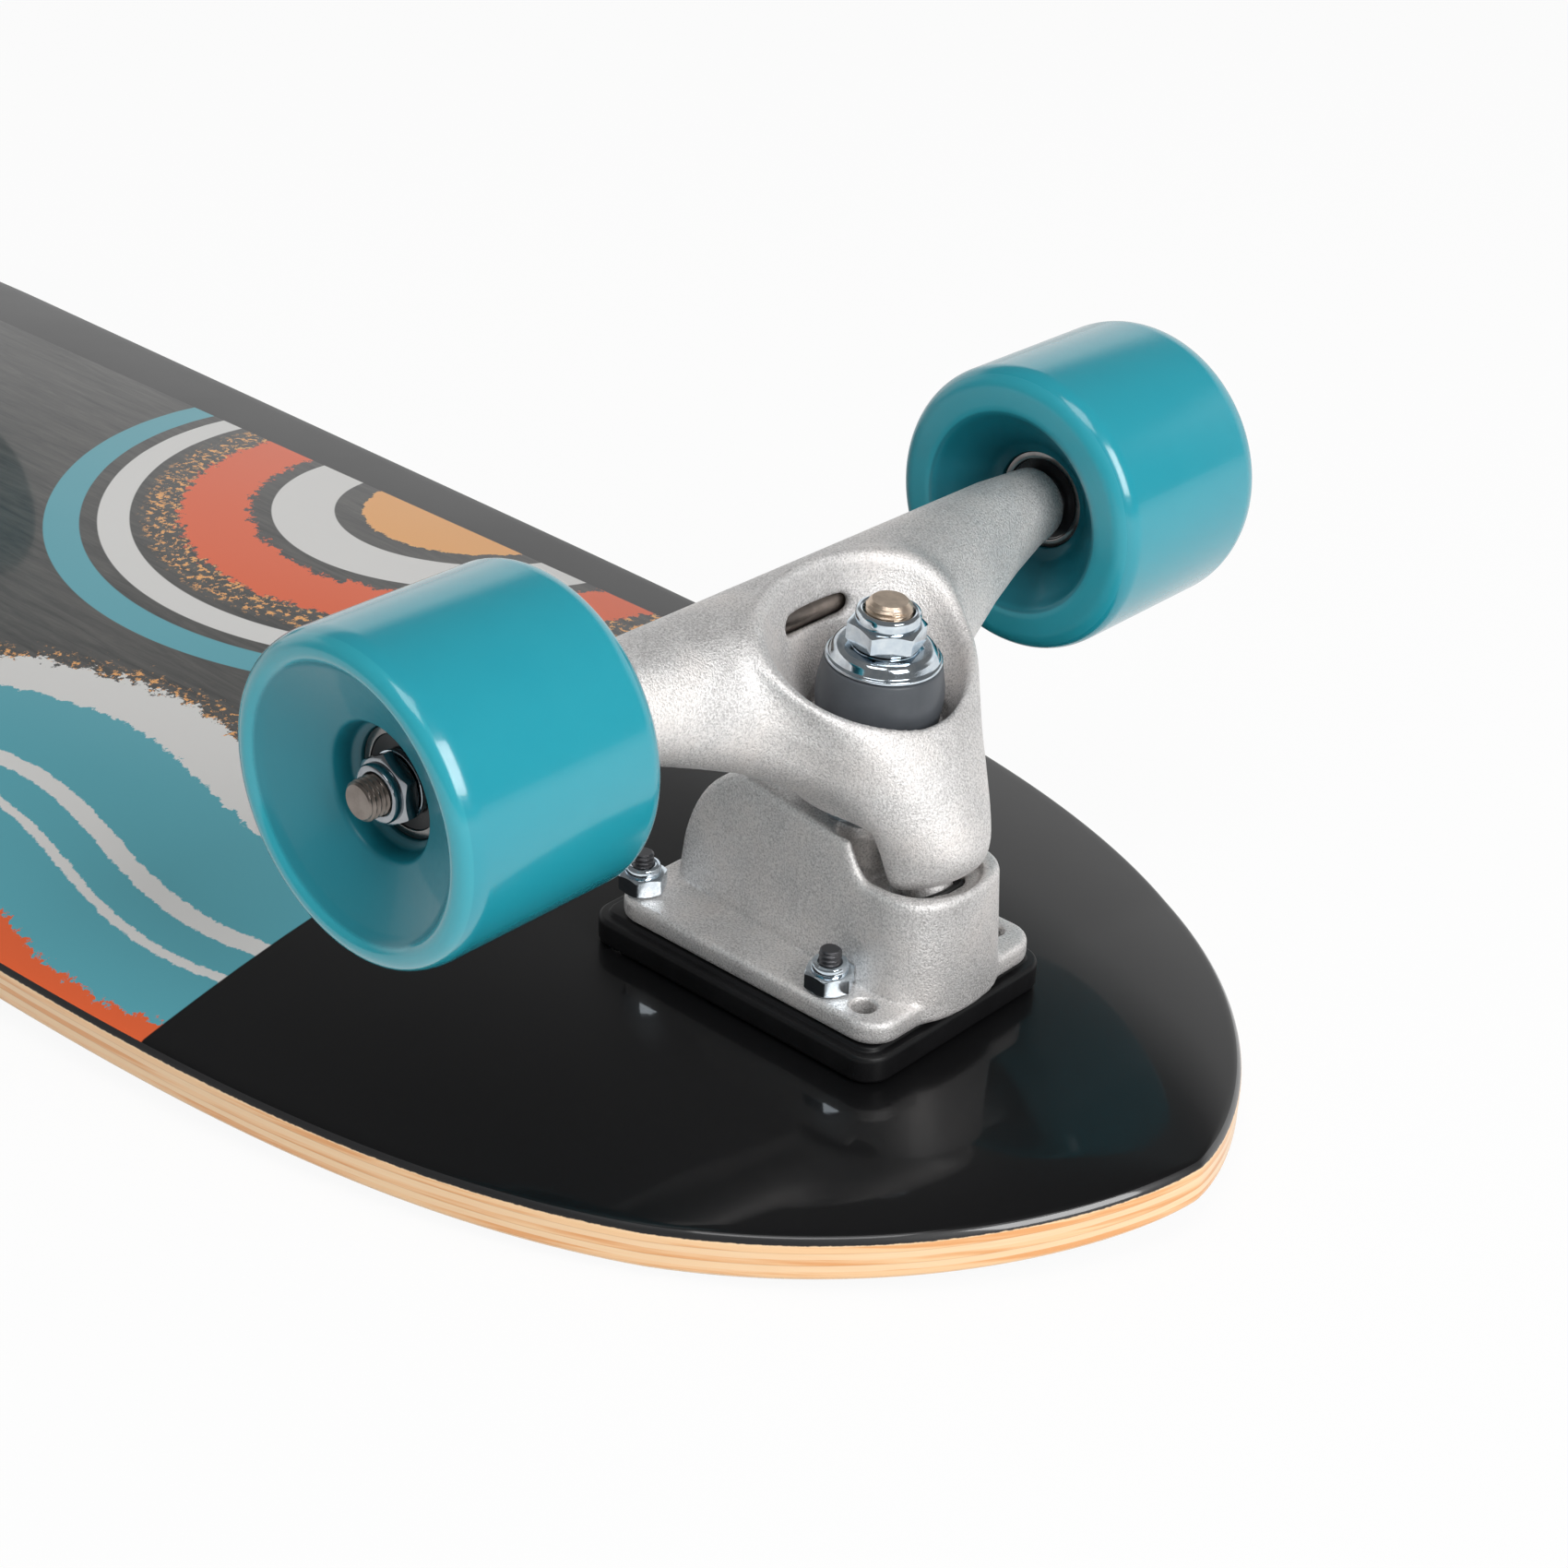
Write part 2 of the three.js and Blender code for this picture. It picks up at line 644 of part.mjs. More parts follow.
function armsGeometry() {
  const half = armStationShares.map((share, i) => {
    const reach = Math.max(armReach * armReachShares[i], armRadius);
    return armSection(armEnd * share, reach, armRadius, Math.min(armReachRadius, reach));
  });
  half.push(armSection(armEnd, armEndRadius, armEndRadius, armEndRadius));
  const mirrored = half.slice(1).map((ring) => ring.map((point) => point.clone().setY(-point.y)));
  return loft([...mirrored.reverse(), ...half]);
}

// An ellipse round a point of the XZ plane: its length lies in that plane, level or tilted down
// towards the nose, and its width lies along Y.
function ellipse(centre, tilt, halfLength, halfWidth, sides) {
  return Array.from({ length: sides }, (_, i) => {
    const angle = 4 * level * (i / sides);
    const along = halfLength * Math.cos(angle);
    const across = halfWidth * Math.sin(angle);
    return new THREE.Vector3(
      centre.x + along * Math.cos(tilt), across, centre.z - along * Math.sin(tilt),
    );
  });
}

// The nose: ellipses from the foot above the pivot up to the bowl's rim.
function noseGeometry() {
  const between = THREE.MathUtils.lerp;
  return loft(noseHeightShares.map((share, i) => {
    const x = between(footX, rimX, noseXShares[i]);
    const centre = new THREE.Vector3(x, 0, between(footHeight, rimHeight, share));
    const tilt = THREE.MathUtils.degToRad(between(footTilt, rimTilt, noseTiltShares[i]));
    const halfLength = between(footRadius, rimHalfLength, noseLengthShares[i]);
    const halfWidth = between(footRadius, rimHalfWidth, noseWidthShares[i]);
    return ellipse(centre, tilt, halfLength, halfWidth, roundSides);
  }));
}

// The bowl: from a circle round the kingpin to the inside of the rim, and on past it.
function bowlGeometry() {
  const seat = kingpinPoint(ringTop + roadWellDepth);
  const rim = new THREE.Vector3(rimX, 0, rimHeight);
  const tilt = THREE.MathUtils.degToRad(rimTilt);
  const out = new THREE.Vector3(Math.sin(tilt), 0, Math.cos(tilt)).multiplyScalar(2 * overrun);
  const [halfLength, halfWidth] = [rimHalfLength - rimWall, rimHalfWidth - rimWall];
  return loft([
    ellipse(seat, kingpinTurn, roadWellRadius, roadWellRadius, roundSides),
    ellipse(rim, tilt, halfLength, halfWidth, roundSides),
    ellipse(rim.clone().add(out), tilt, halfLength + rimWall, halfWidth + rimWall, roundSides),
  ]);
}

// A slot through the bowl's wall that shows the axle.
function slotGeometry() {
  const outline = roundedRectangle(0, slotHeight, slotLength, slotHeight / 2);
  return plate(outline, 0, slotDepth).rotateY(level).translate(axleX + axleRadius, 0, axleHeight);
}

// What the hanger's neck leaves free for the tower, when the hanger is steered by an angle.
function neckBackGeometry(angle) {
  const top = ringFoot - ringSkirt;
  const length = neckBackX - towerBackX;
  const box = new THREE.BoxGeometry(length, 2 * housingHalfWidth, top);
  box.translate(neckBackX - length / 2, 0, top / 2);
  const pivot = new THREE.Vector3(pivotX, 0, pivotHeight);
  const axis = steerMiddle.clone().sub(pivot).normalize();
  const turn = new THREE.Matrix4().makeRotationAxis(axis, THREE.MathUtils.degToRad(angle));
  box.translate(-pivot.x, 0, -pivot.z).applyMatrix4(turn);
  return box.translate(pivot.x, 0, pivot.z);
}

function hangerGeometry() {
  const skirtFoot = ringFoot - ringSkirt;
  const wellTop = ringTop + roadWellDepth;
  const ring = onKingpin(ringBar(0, ringRadius, skirtFoot, wellTop, roundSides));
  const diagonal = pivotRadius / Math.SQRT2;
  const pin = onSteer(turned([
    [0, -pivotRadius], [diagonal, -diagonal],
    [pivotRadius, 0], [pivotRadius, pinLength], [0, pinLength],
  ], roundSides));
  const bore = onKingpin(ringBar(0, ringBoreRadius, 0, kingpinTop, roundSides));
  const roadWell = onKingpin(ringBar(0, roadWellRadius, ringTop, wellTop + gap, roundSides));
  const boardWell = onKingpin(ringBar(0, boardWellRadius, seatHeight - gap, ringFoot, roundSides));
  const axleBore = ringBar(0, axleFit, -axleLength / 2, axleLength / 2, bearingSides);
  axleBore.rotateX(level).translate(axleX, 0, axleHeight);
  const backs = [-steerRange, 0, steerRange].map(neckBackGeometry);
  const body = carve([armsGeometry(), noseGeometry(), ring], [...backs, boardWell]);
  return carve([body, pin], [bowlGeometry(), roadWell, bore, axleBore, slotGeometry()]);
}

// What is on the axle, each piece made round +Z and then turned to lie along Y

function axleGeometry() {
  const end = axleLength / 2;
  return turned([
    [0, -end], [axleRadius - axleBevel, -end], [axleRadius, axleBevel - end],
    [axleRadius, end - axleBevel], [axleRadius - axleBevel, end], [0, end],
  ], bearingSides);
}

// The wheel, by height outwards from its middle plane.
function wheelGeometry() {
  const face = wheelWidth / 2;
  const seat = bearingRadius + gap;
  const bearingOut = bearingOuterFace - wheelMiddle;
  const bearingIn = bearingInnerFace - wheelMiddle;
  const crest = wheelRadius - wheelLip;
  const wall = crest - wheelCrestWidth;
  const dish = wall - wheelDishWallRun;
  return turned([
    [wheelRidgeRadius, bearingIn + bearingWidth + gap], [seat, bearingIn + bearingWidth + gap],
    [seat, bearingIn - gap], [innerRecessRadius, innerRecessRun - face], [innerRecessRadius, -face],
    [crest, -face], [wheelRadius, wheelLip - face], [wheelRadius, face - wheelLip], [crest, face],
    [wall, face], [dish, face - wheelDishWall], [hubRecessRadius, face - wheelDishDepth],
    [seat, bearingOut + gap], [seat, bearingOut - bearingWidth - gap],
    [wheelRidgeRadius, bearingOut - bearingWidth - gap],
  ], wheelSides);
}

// A piece on one end of the axle, given its geometry by distance from the board's middle.
function outward(geometry, side) {
  return geometry.rotateX(-side * level).translate(axleX, 0, axleHeight);
}

// Everything on one end of the axle, as [name, geometry, finish].
function axleEnd(side) {
  const ring = (outer, foot, width, sides) => (
    outward(ringBar(axleFit, outer, foot, foot + width, sides), side)
  );
  const bearing = (foot) => ring(bearingRadius, foot, bearingWidth, bearingSides);
  const washer = (foot) => ring(speedWasherRadius, foot, speedWasherThickness, smallSides);
  const spacerFoot = bearingMiddle - spacerLength / 2 + gap;
  const nut = lockNut(axleNutFlats, axleNutHexHeight, axleNutCollarRadius, axleNutCollarHeight,
    axleFit, axleNutFoot);
  return [
    ['wheel', outward(wheelGeometry().translate(0, 0, wheelMiddle), side), finishes.urethane],
    ['bearing_inner', bearing(bearingInnerFace), finishes.blackSteel],
    ['bearing_outer', bearing(bearingOuterFace - bearingWidth), finishes.blackSteel],
    ['spacer', ring(spacerRadius, spacerFoot, spacerLength - 2 * gap, smallSides), finishes.steel],
    ['speed_washer_inner', washer(innerWasherFoot), finishes.zinc],
    ['speed_washer_outer', washer(outerWasherFoot), finishes.zinc],
    ['axle_nut', outward(nut, side), finishes.blackSteel],
  ];
}

// Everything in the middle of a truck, as [name, geometry, finish].
function truckCore() {
  const axle = axleGeometry().rotateX(level).translate(axleX, 0, axleHeight);
  const boardBushing = bushingGeometry(boardBushingFoot, boardBushingHeight,
    boardBushingFootRadius, boardBushingTopRadius);
  const roadBushing = bushingGeometry(roadBushingFoot, roadBushingHeight,
    roadBushingFootRadius, roadBushingTopRadius);
  const bolts = boltPlaces(0).map(([x, y]) => mountingBoltGeometry(x, y));
  return [
    ['riser', riserGeometry(), finishes.moulding],
    ['baseplate', baseplateGeometry(), finishes.casting],
    ['pivot_cup', pivotCupGeometry(), finishes.liner],
    ['kingpin', kingpinGeometry(), finishes.steel],
    ['washer_board_side', boardWasherGeometry(), finishes.zinc],
    ['bushing_board_side', boardBushing, finishes.bushing],
    ['hanger', hangerGeometry(), finishes.casting],
    ['bushing_road_side', roadBushing, finishes.bushing],
    ['cup_washer', cupWasherGeometry(), finishes.zinc],
    ['kingpin_nut', kingpinNutGeometry(), finishes.zinc],
    ['axle', axle, finishes.steel],
    ...bolts.map((bolt, i) => [`bolt_${i + 1}`, bolt, finishes.blackSteel]),
  ];
}

function namedMesh(name, geometry, finish) {
  const mesh = new THREE.Mesh(geometry, finish);
  mesh.name = name;
  return mesh;
}

// One truck: its core, and both ends of its axle. The rear truck is turned round, so its left
// is on the other side of its own frame.
function buildTruck(end, x, turn) {
  const truck = new THREE.Group();
  for (const [name, geometry, finish] of truckCore()) {
    truck.add(namedMesh(`${end}_${name}`, geometry, finish));
  }
  const left = Math.round(-Math.cos(turn));
  for (const [sideName, side] of [['left', left], ['right', -left]]) {
    for (const [name, geometry, finish] of axleEnd(side)) {
      truck.add(namedMesh(`${end}_${sideName}_${name}`, geometry, finish));
    }
  }
  truck.position.x = x;
  truck.rotation.z = turn;
  return truck;
}

// Laying the board down: it rests on its tail's tip and on the rails behind its nose, so it is
// turned by the least slope from the tail's tip to a rail, and then put on the floor.
function restTurn() {
  const low = (x) => -kickDrop(x) - concaveDrop(x, 1 - gripInset / deckHalfWidth(x));
  const [tail, ...rest] = deckStations();
  const slopes = rest.filter((x) => x > rearTruckX).map((x) => (low(x) - low(tail)) / (x - tail));
  return Math.atan(Math.min(...slopes));
}

const boardGroup = new THREE.Group();
boardGroup.add(namedMesh('deck', deckGeometry(), finishes.lacquer));
boardGroup.add(namedMesh('grip_tape', gripGeometry(), finishes.grit));
boardGroup.add(buildTruck('front', 0, 0));
boardGroup.add(buildTruck('rear', rearTruckX, 2 * level));
boardGroup.rotation.y = restTurn();

const skateboard = new THREE.Group();
skateboard.add(boardGroup);
const box = new THREE.Box3().setFromObject(skateboard, true);
const middle = box.getCenter(new THREE.Vector3());
boardGroup.position.set(-middle.x, -middle.y, -box.min.z);

export default skateboard;
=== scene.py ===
"""A surf skateboard that lies upside down on its deck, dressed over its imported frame.

Sizes are millimetres in a truck's own frame, where X points to the board's end, Z away from the
deck, and the origin is the middle of the four mounting bolts on top of the baseplate's flange.
The front truck's frame is also the deck's. World coordinates are metres.
"""

from __future__ import annotations

import json
import logging
import math
from dataclasses import dataclass, field
from enum import Enum
from typing import Mapping, Sequence

import bpy
import numpy as np
from mathutils import Matrix, Vector


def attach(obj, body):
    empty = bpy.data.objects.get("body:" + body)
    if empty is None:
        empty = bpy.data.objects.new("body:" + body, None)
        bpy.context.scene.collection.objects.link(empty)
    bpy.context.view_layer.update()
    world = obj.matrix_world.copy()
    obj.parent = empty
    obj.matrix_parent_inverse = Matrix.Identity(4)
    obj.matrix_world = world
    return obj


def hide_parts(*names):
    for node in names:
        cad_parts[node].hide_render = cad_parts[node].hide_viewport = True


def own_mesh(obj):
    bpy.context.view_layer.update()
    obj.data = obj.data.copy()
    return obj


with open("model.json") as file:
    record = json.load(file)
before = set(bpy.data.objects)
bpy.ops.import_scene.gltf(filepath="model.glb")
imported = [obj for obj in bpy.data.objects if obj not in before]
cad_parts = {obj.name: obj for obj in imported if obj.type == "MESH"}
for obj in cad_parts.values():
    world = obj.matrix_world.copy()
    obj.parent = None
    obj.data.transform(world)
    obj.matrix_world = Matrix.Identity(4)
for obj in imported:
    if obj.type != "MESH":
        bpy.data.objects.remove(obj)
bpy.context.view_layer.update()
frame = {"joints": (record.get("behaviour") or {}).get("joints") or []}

METRES_PER_MM = 0.001
GAP = 0.3
LOG = logging.getLogger("skateboard")

Array = np.ndarray
Colour = tuple[float, float, float]
Numbers = Sequence[float]
Pair = tuple[float, float]
Place = tuple[float, float, float]
Socket = bpy.types.NodeSocket


class Slot(Enum):
    """The record's material slots, one given with each piece."""

    DECK = "deck"
    GRIP = "grip"
    MOULDING = "moulding"
    CASTING = "casting"
    LINER = "liner"
    STEEL = "steel"
    ZINC = "zinc"
    BLACK_STEEL = "black_steel"
    BUSHING = "bushing"
    URETHANE = "urethane"


class End(Enum):
    """The two ends of the board that carry a truck."""

    FRONT = "front"
    REAR = "rear"


# Shader graphs


class Value:
    """A number socket that takes part in Python arithmetic, with a Math node for each operator."""

    def __init__(self, graph: Graph, socket: Socket) -> None:
        """Wraps an output that holds a number, in the graph that new nodes go into."""
        self.graph = graph
        self.socket = socket

    def math(self, operation: str, *others: Value | float) -> Value:
        """The result of a Math node that takes this value first."""
        return self.graph.math(operation, self, *others)

    def __add__(self, other: Value | float) -> Value:
        """Sum."""
        return self.math("ADD", other)

    def __sub__(self, other: Value | float) -> Value:
        """Difference."""
        return self.math("SUBTRACT", other)

    def __rsub__(self, other: float) -> Value:
        """Difference with the number first."""
        return self.graph.math("SUBTRACT", other, self)

    def __mul__(self, other: Value | float) -> Value:
        """Product."""
        return self.math("MULTIPLY", other)

    def __pow__(self, other: Value | float) -> Value:
        """Power."""
        return self.math("POWER", other)

    __radd__ = __add__
    __rmul__ = __mul__

    def sine(self) -> Value:
        """Sine of the value in radians."""
        return self.math("SINE")

    def lowest(self, other: Value | float) -> Value:
        """The smaller of two values."""
        return self.math("MINIMUM", other)

    def above(self, edge: Value | float, blur: float) -> Value:
        """A mask from 0 to 1: (value - edge) / blur + 1/2, held between the two."""
        shifted = self - edge
        return self.graph.math("MULTIPLY_ADD", shifted, 1.0 / blur, 0.5, clamp=True)

    def below(self, edge: Value | float, blur: float) -> Value:
        """The mask that falls from 1 to 0 at an edge."""
        return 1.0 - self.above(edge, blur)

    def between(self, low: Value | float, high: Value | float, blur: float) -> Value:
        """A mask that is 1 from one edge to another."""
        return self.above(low, blur) * self.below(high, blur)


class Graph:
    """The nodes of one material or of the world."""

    def __init__(self, tree: bpy.types.NodeTree) -> None:
        """Empties a tree to start on."""
        self.tree = tree
        tree.nodes.clear()

    def node(self, kind: str, settings: Mapping[str, object] | None = None,
             inputs: Mapping[int | str, object] | None = None) -> bpy.types.Node:
        """Adds a node.

        Args:
            kind: The node's type.
            settings: Its settings, set before its sockets.
            inputs: The value or link of each socket, by name or number.

        Returns:
            The node.
        """
        made = self.tree.nodes.new(kind)
        for name, setting in (settings or {}).items():
            setattr(made, name, setting)
        for key, given in (inputs or {}).items():
            source = given.socket if isinstance(given, Value) else given
            if isinstance(source, Socket):
                self.tree.links.new(source, made.inputs[key])
            else:
                made.inputs[key].default_value = source
        return made

    def math(self, operation: str, *values: Value | float, clamp: bool = False) -> Value:
        """The result of a new Math node, held between 0 and 1 where it is clamped."""
        settings = {"operation": operation, "use_clamp": clamp}
        return Value(self, self.node("ShaderNodeMath", settings, dict(enumerate(values))).outputs[0])

    def place(self, stretch: Numbers = (1, 1, 1), turn: float = 0.0,
              origin: Numbers = (0, 0, 0)) -> Socket:
        """Object coordinates in millimetres.

        Args:
            stretch: A factor for each axis.
            turn: The pattern's turn about Z in radians.
            origin: The world point in metres that becomes the pattern's origin.

        Returns:
            The vector output.
        """
        coordinates = self.node("ShaderNodeTexCoord").outputs["Object"]
        shifted = self.node("ShaderNodeVectorMath", {"operation": "SUBTRACT"},
                            {0: coordinates, 1: tuple(origin)}).outputs[0]
        scale = tuple(factor / METRES_PER_MM for factor in stretch)
        mapping = self.node("ShaderNodeMapping", {"vector_type": "POINT"},
                            {"Vector": shifted, "Rotation": (0, 0, turn), "Scale": scale})
        return mapping.outputs[0]

    def axes(self, vector: Socket) -> tuple[Value, Value, Value]:
        """The three numbers of a vector."""
        split = self.node("ShaderNodeSeparateXYZ", None, {0: vector})
        return tuple(Value(self, output) for output in split.outputs)

    def noise(self, vector: Socket, scale: float, detail: float = 2.0,
              roughness: float = 0.5, distortion: float = 0.0) -> Value:
        """Cloudy noise from 0 to 1.

        Args:
            vector: Where it is read, in millimetres.
            scale: How many clouds there are in a millimetre.
            detail: How many finer layers it has.
            roughness: How strong the finer layers are.
            distortion: How far the clouds are pulled about.

        Returns:
            The noise.
        """
        made = self.node("ShaderNodeTexNoise", None, {
            "Vector": vector, "Scale": scale, "Detail": detail, "Roughness": roughness,
            "Distortion": distortion,
        })
        return Value(self, made.outputs["Fac"])

    def cells(self, vector: Socket, scale: float) -> tuple[Value, Value]:
        """Loose grains.

        Args:
            vector: Where they are read, in millimetres.
            scale: How many grains there are in a millimetre.

        Returns:
            The distance from a grain's middle, and a number that each grain has of its own.
        """
        made = self.node("ShaderNodeTexVoronoi", None, {"Vector": vector, "Scale": scale})
        colour = self.node("ShaderNodeSeparateColor", None, {0: made.outputs["Color"]})
        return Value(self, made.outputs["Distance"]), Value(self, colour.outputs[0])

    def tag(self, name: str) -> Value:
        """A number that the piece's points carry, such as a depth in millimetres."""
        made = self.node("ShaderNodeAttribute", {"attribute_name": name})
        return Value(self, made.outputs["Fac"])

    def mix(self, factor: Value | float, first: object, second: object,
            blend: str = "MIX") -> Socket:
        """Mixes two colours.

        Args:
            factor: How much of the second there is.
            first: A colour or its socket.
            second: A colour or its socket.
            blend: How the second is laid on the first.

        Returns:
            The mixed colour.
        """
        made = self.node("ShaderNodeMix", {"data_type": "RGBA", "blend_type": blend},
                         {0: factor, 6: rgba(first), 7: rgba(second)})
        return made.outputs[2]

    def bump(self, height: Value, distance: float, strength: float = 1.0,
             normal: Socket | None = None) -> Socket:
        """Turns a height into a normal.

        Args:
            height: The height, where 1 is as high as `distance`.
            distance: Millimetres.
            strength: How much of it shows.
            normal: A coarser bump that this one lies on.

        Returns:
            The normal.
        """
        inputs = {"Height": height, "Strength": strength, "Distance": distance * METRES_PER_MM}
        if normal is not None:
            inputs["Normal"] = normal
        return self.node("ShaderNodeBump", None, inputs).outputs[0]

    def end(self, shader: bpy.types.Node, output: str = "ShaderNodeOutputMaterial") -> None:
        """Leads a shader to the tree's output, a new node of the kind given."""
        self.tree.links.new(shader.outputs[0], self.node(output).inputs["Surface"])

    def surface(self, inputs: Mapping[str, object]) -> None:
        """Ends the graph in a Principled surface with the sockets given, Base Color among them."""
        given = {**inputs, "Base Color": rgba(inputs["Base Color"])}
        self.end(self.node("ShaderNodeBsdfPrincipled", None, given))


def rgba(colour: object) -> object:
    """A colour of three numbers with its alpha, or a socket as it is."""
    is_plain = isinstance(colour, tuple) and len(colour) == 3
    return (*colour, 1.0) if is_plain else colour


def new_material(name: str) -> tuple[bpy.types.Material, Graph]:
    """Makes an empty material.

    Args:
        name: Its name.

    Returns:
        The material and its graph.
    """
    material = bpy.data.materials.new(name)
    material.use_nodes = True
    return material, Graph(material.node_tree)


# Finishes


@dataclass(frozen=True)
class Finish:
    """A surface finish, built once and shared by the pieces that have it."""

    name: str

    def dress(self, graph: Graph) -> None:
        """Adds the finish's nodes.

        Args:
            graph: The graph of its new material.
        """
        raise NotImplementedError

    def material(self) -> bpy.types.Material:
        """Makes the finish's material when it is first asked for.

        Returns:
            The material.
        """
        found = bpy.data.materials.get(self.name)
        if found is None:
            found, graph = new_material(self.name)
            self.dress(graph)
        return found


@dataclass(frozen=True)
class BlastedCasting(Finish):
    """Raw aluminium, gravity cast and blasted: fine sparkling grains with soft clouds of grey."""

    light: Colour = (0.97, 0.955, 0.945)
    dark: Colour = (0.54, 0.525, 0.52)
    warm: Colour = (0.90, 0.845, 0.81)
    grains: float = 2.3
    lumps: float = 0.9
    clouds: float = 0.07
    grain_relief: float = 0.2
    lump_relief: float = 0.07
    metallic: float = 0.76
    roughness: float = 0.44
    spread: float = 0.16

    def dress(self, graph: Graph) -> None:
        """Mixes two greys by grain and cloud, and roughens the normal by the same grains.

        Args:
            graph: The graph of its material.
        """
        place = graph.place()
        fine = graph.noise(place, self.grains, 2.0, 0.7)
        coarse = graph.noise(place, self.lumps)
        clouds = graph.noise(place, self.clouds, 3.0)
        tone = fine * 1.1 + clouds * 0.5 - 0.4
        colour = graph.mix(tone.above(0.35, 0.36), self.dark, self.light)
        colour = graph.mix(clouds.above(0.58, 0.3) * 0.5, colour, self.warm, "MULTIPLY")
        shot = graph.bump(fine, self.grain_relief)
        graph.surface({
            "Base Color": colour,
            "Metallic": self.metallic,
            "Roughness": self.roughness + self.spread * coarse,
            "Normal": graph.bump(coarse, self.lump_relief, 0.7, shot),
        })


@dataclass(frozen=True)
class TurnedMetal(Finish):
    """Turned, rolled or plated metal with a faint cloud and small handling marks."""

    colour: Colour
    stain: Colour
    roughness: float
    spread: float
    relief: float
    clouds: float = 0.35
    scuffs: float = 3.0

    def dress(self, graph: Graph) -> None:
        """Clouds the colour and roughness, and lays a shallow unevenness on the normal.

        Args:
            graph: The graph of its material.
        """
        place = graph.place()
        clouds = graph.noise(place, self.clouds, 4.0, 0.6)
        scuffs = graph.noise(place, self.scuffs, 3.0, 0.7)
        graph.surface({
            "Base Color": graph.mix(clouds.above(0.62, 0.5), self.colour, self.stain),
            "Metallic": 1.0,
            "Roughness": self.roughness + self.spread * (scuffs - 0.5),
            "Normal": graph.bump(scuffs, self.relief),
        })


@dataclass(frozen=True)
class Moulding(Finish):
    """Moulded black plastic or rubber with a fine spark eroded texture."""

    colour: Colour = (0.0035, 0.0035, 0.004)
    roughness: float = 0.46
    relief: float = 0.02
    grains: float = 3.0
    patches: float = 0.12
    spread: float = 0.2
    specular: float = 0.3

    def dress(self, graph: Graph) -> None:
        """Breaks up the gloss with fine grains and soft patches.

        Args:
            graph: The graph of its material.
        """
        place = graph.place()
        grain = graph.noise(place, self.grains)
        patches = graph.noise(place, self.patches, 3.0, 0.6)
        lighter = tuple(channel * 1.8 + 0.002 for channel in self.colour)
        graph.surface({
            "Base Color": graph.mix(patches, self.colour, lighter),
            "Roughness": self.roughness + self.spread * (patches - 0.5),
            "Specular IOR Level": self.specular,
            "Normal": graph.bump(grain, self.relief),
        })


@dataclass(frozen=True)
class PouredUrethane(Finish):
    """Poured urethane: even and glossy, a little milky where it is thin, and darkened by painted shade in
    its recesses.
    """

    colour: Colour = (0.008, 0.285, 0.375)
    milky: Colour = (0.035, 0.40, 0.48)
    # painted shade: a dark teal laid on the bearing seats, the inner recess and the dish's hub, where shade
    # falls
    deep: Colour = (0.003, 0.12, 0.16)
    clouds: float = 0.05
    skin: float = 0.6
    relief: float = 0.012
    roughness: float = 0.2
    spread: float = 0.14
    dulling: float = 0.25
    coat: float = 0.55

    def dress(self, graph: Graph) -> None:
        """Lightens the colour where the piece says it is thin, and darkens it with painted shade in its
        recesses, under a soft gloss.

        Args:
            graph: The graph of its material.
        """
        place = graph.place()
        clouds = graph.noise(place, self.clouds, 3.0, 0.55)
        skin = graph.noise(place, self.skin, 3.0, 0.6)
        thin, deep, gloss = graph.tag("thin"), graph.tag("deep"), graph.tag("gloss")
        amount = (thin * 0.85 + clouds * 0.25).lowest(1.0)
        colour = graph.mix(amount, self.colour, self.milky)
        dull = self.dulling * (1.0 - gloss)
        graph.surface({
            # painted shade: the colour darkens towards the dark teal by the piece's deep tag
            "Base Color": graph.mix(deep, colour, self.deep),
            "Roughness": self.roughness + self.spread * (skin - 0.5) + dull,
            "Normal": graph.bump(skin, self.relief),
            "Subsurface Weight": 0.1,
            "Subsurface Radius": (0.3, 1.0, 1.0),
            "Subsurface Scale": 0.003,
            "Coat Weight": self.coat * gloss,
            "Coat Roughness": 0.08,
        })


@dataclass(frozen=True)
class Grit(Finish):
    """Black grip: coarse grains bound in a dull film."""

    film: Colour = (0.012, 0.012, 0.013)
    facets: Colour = (0.09, 0.09, 0.095)
    grains: float = 2.2
    relief: float = 0.28

    def dress(self, graph: Graph) -> None:
        """Raises each grain and gives it its own shade.

        Args:
            graph: The graph of its material.
        """
        distance, shade = graph.cells(graph.place(), self.grains)
        graph.surface({
            "Base Color": graph.mix(shade.above(0.8, 0.4), self.film, self.facets),
            "Roughness": 0.65 + 0.3 * shade,
            "Normal": graph.bump(1.0 - distance, self.relief),
        })


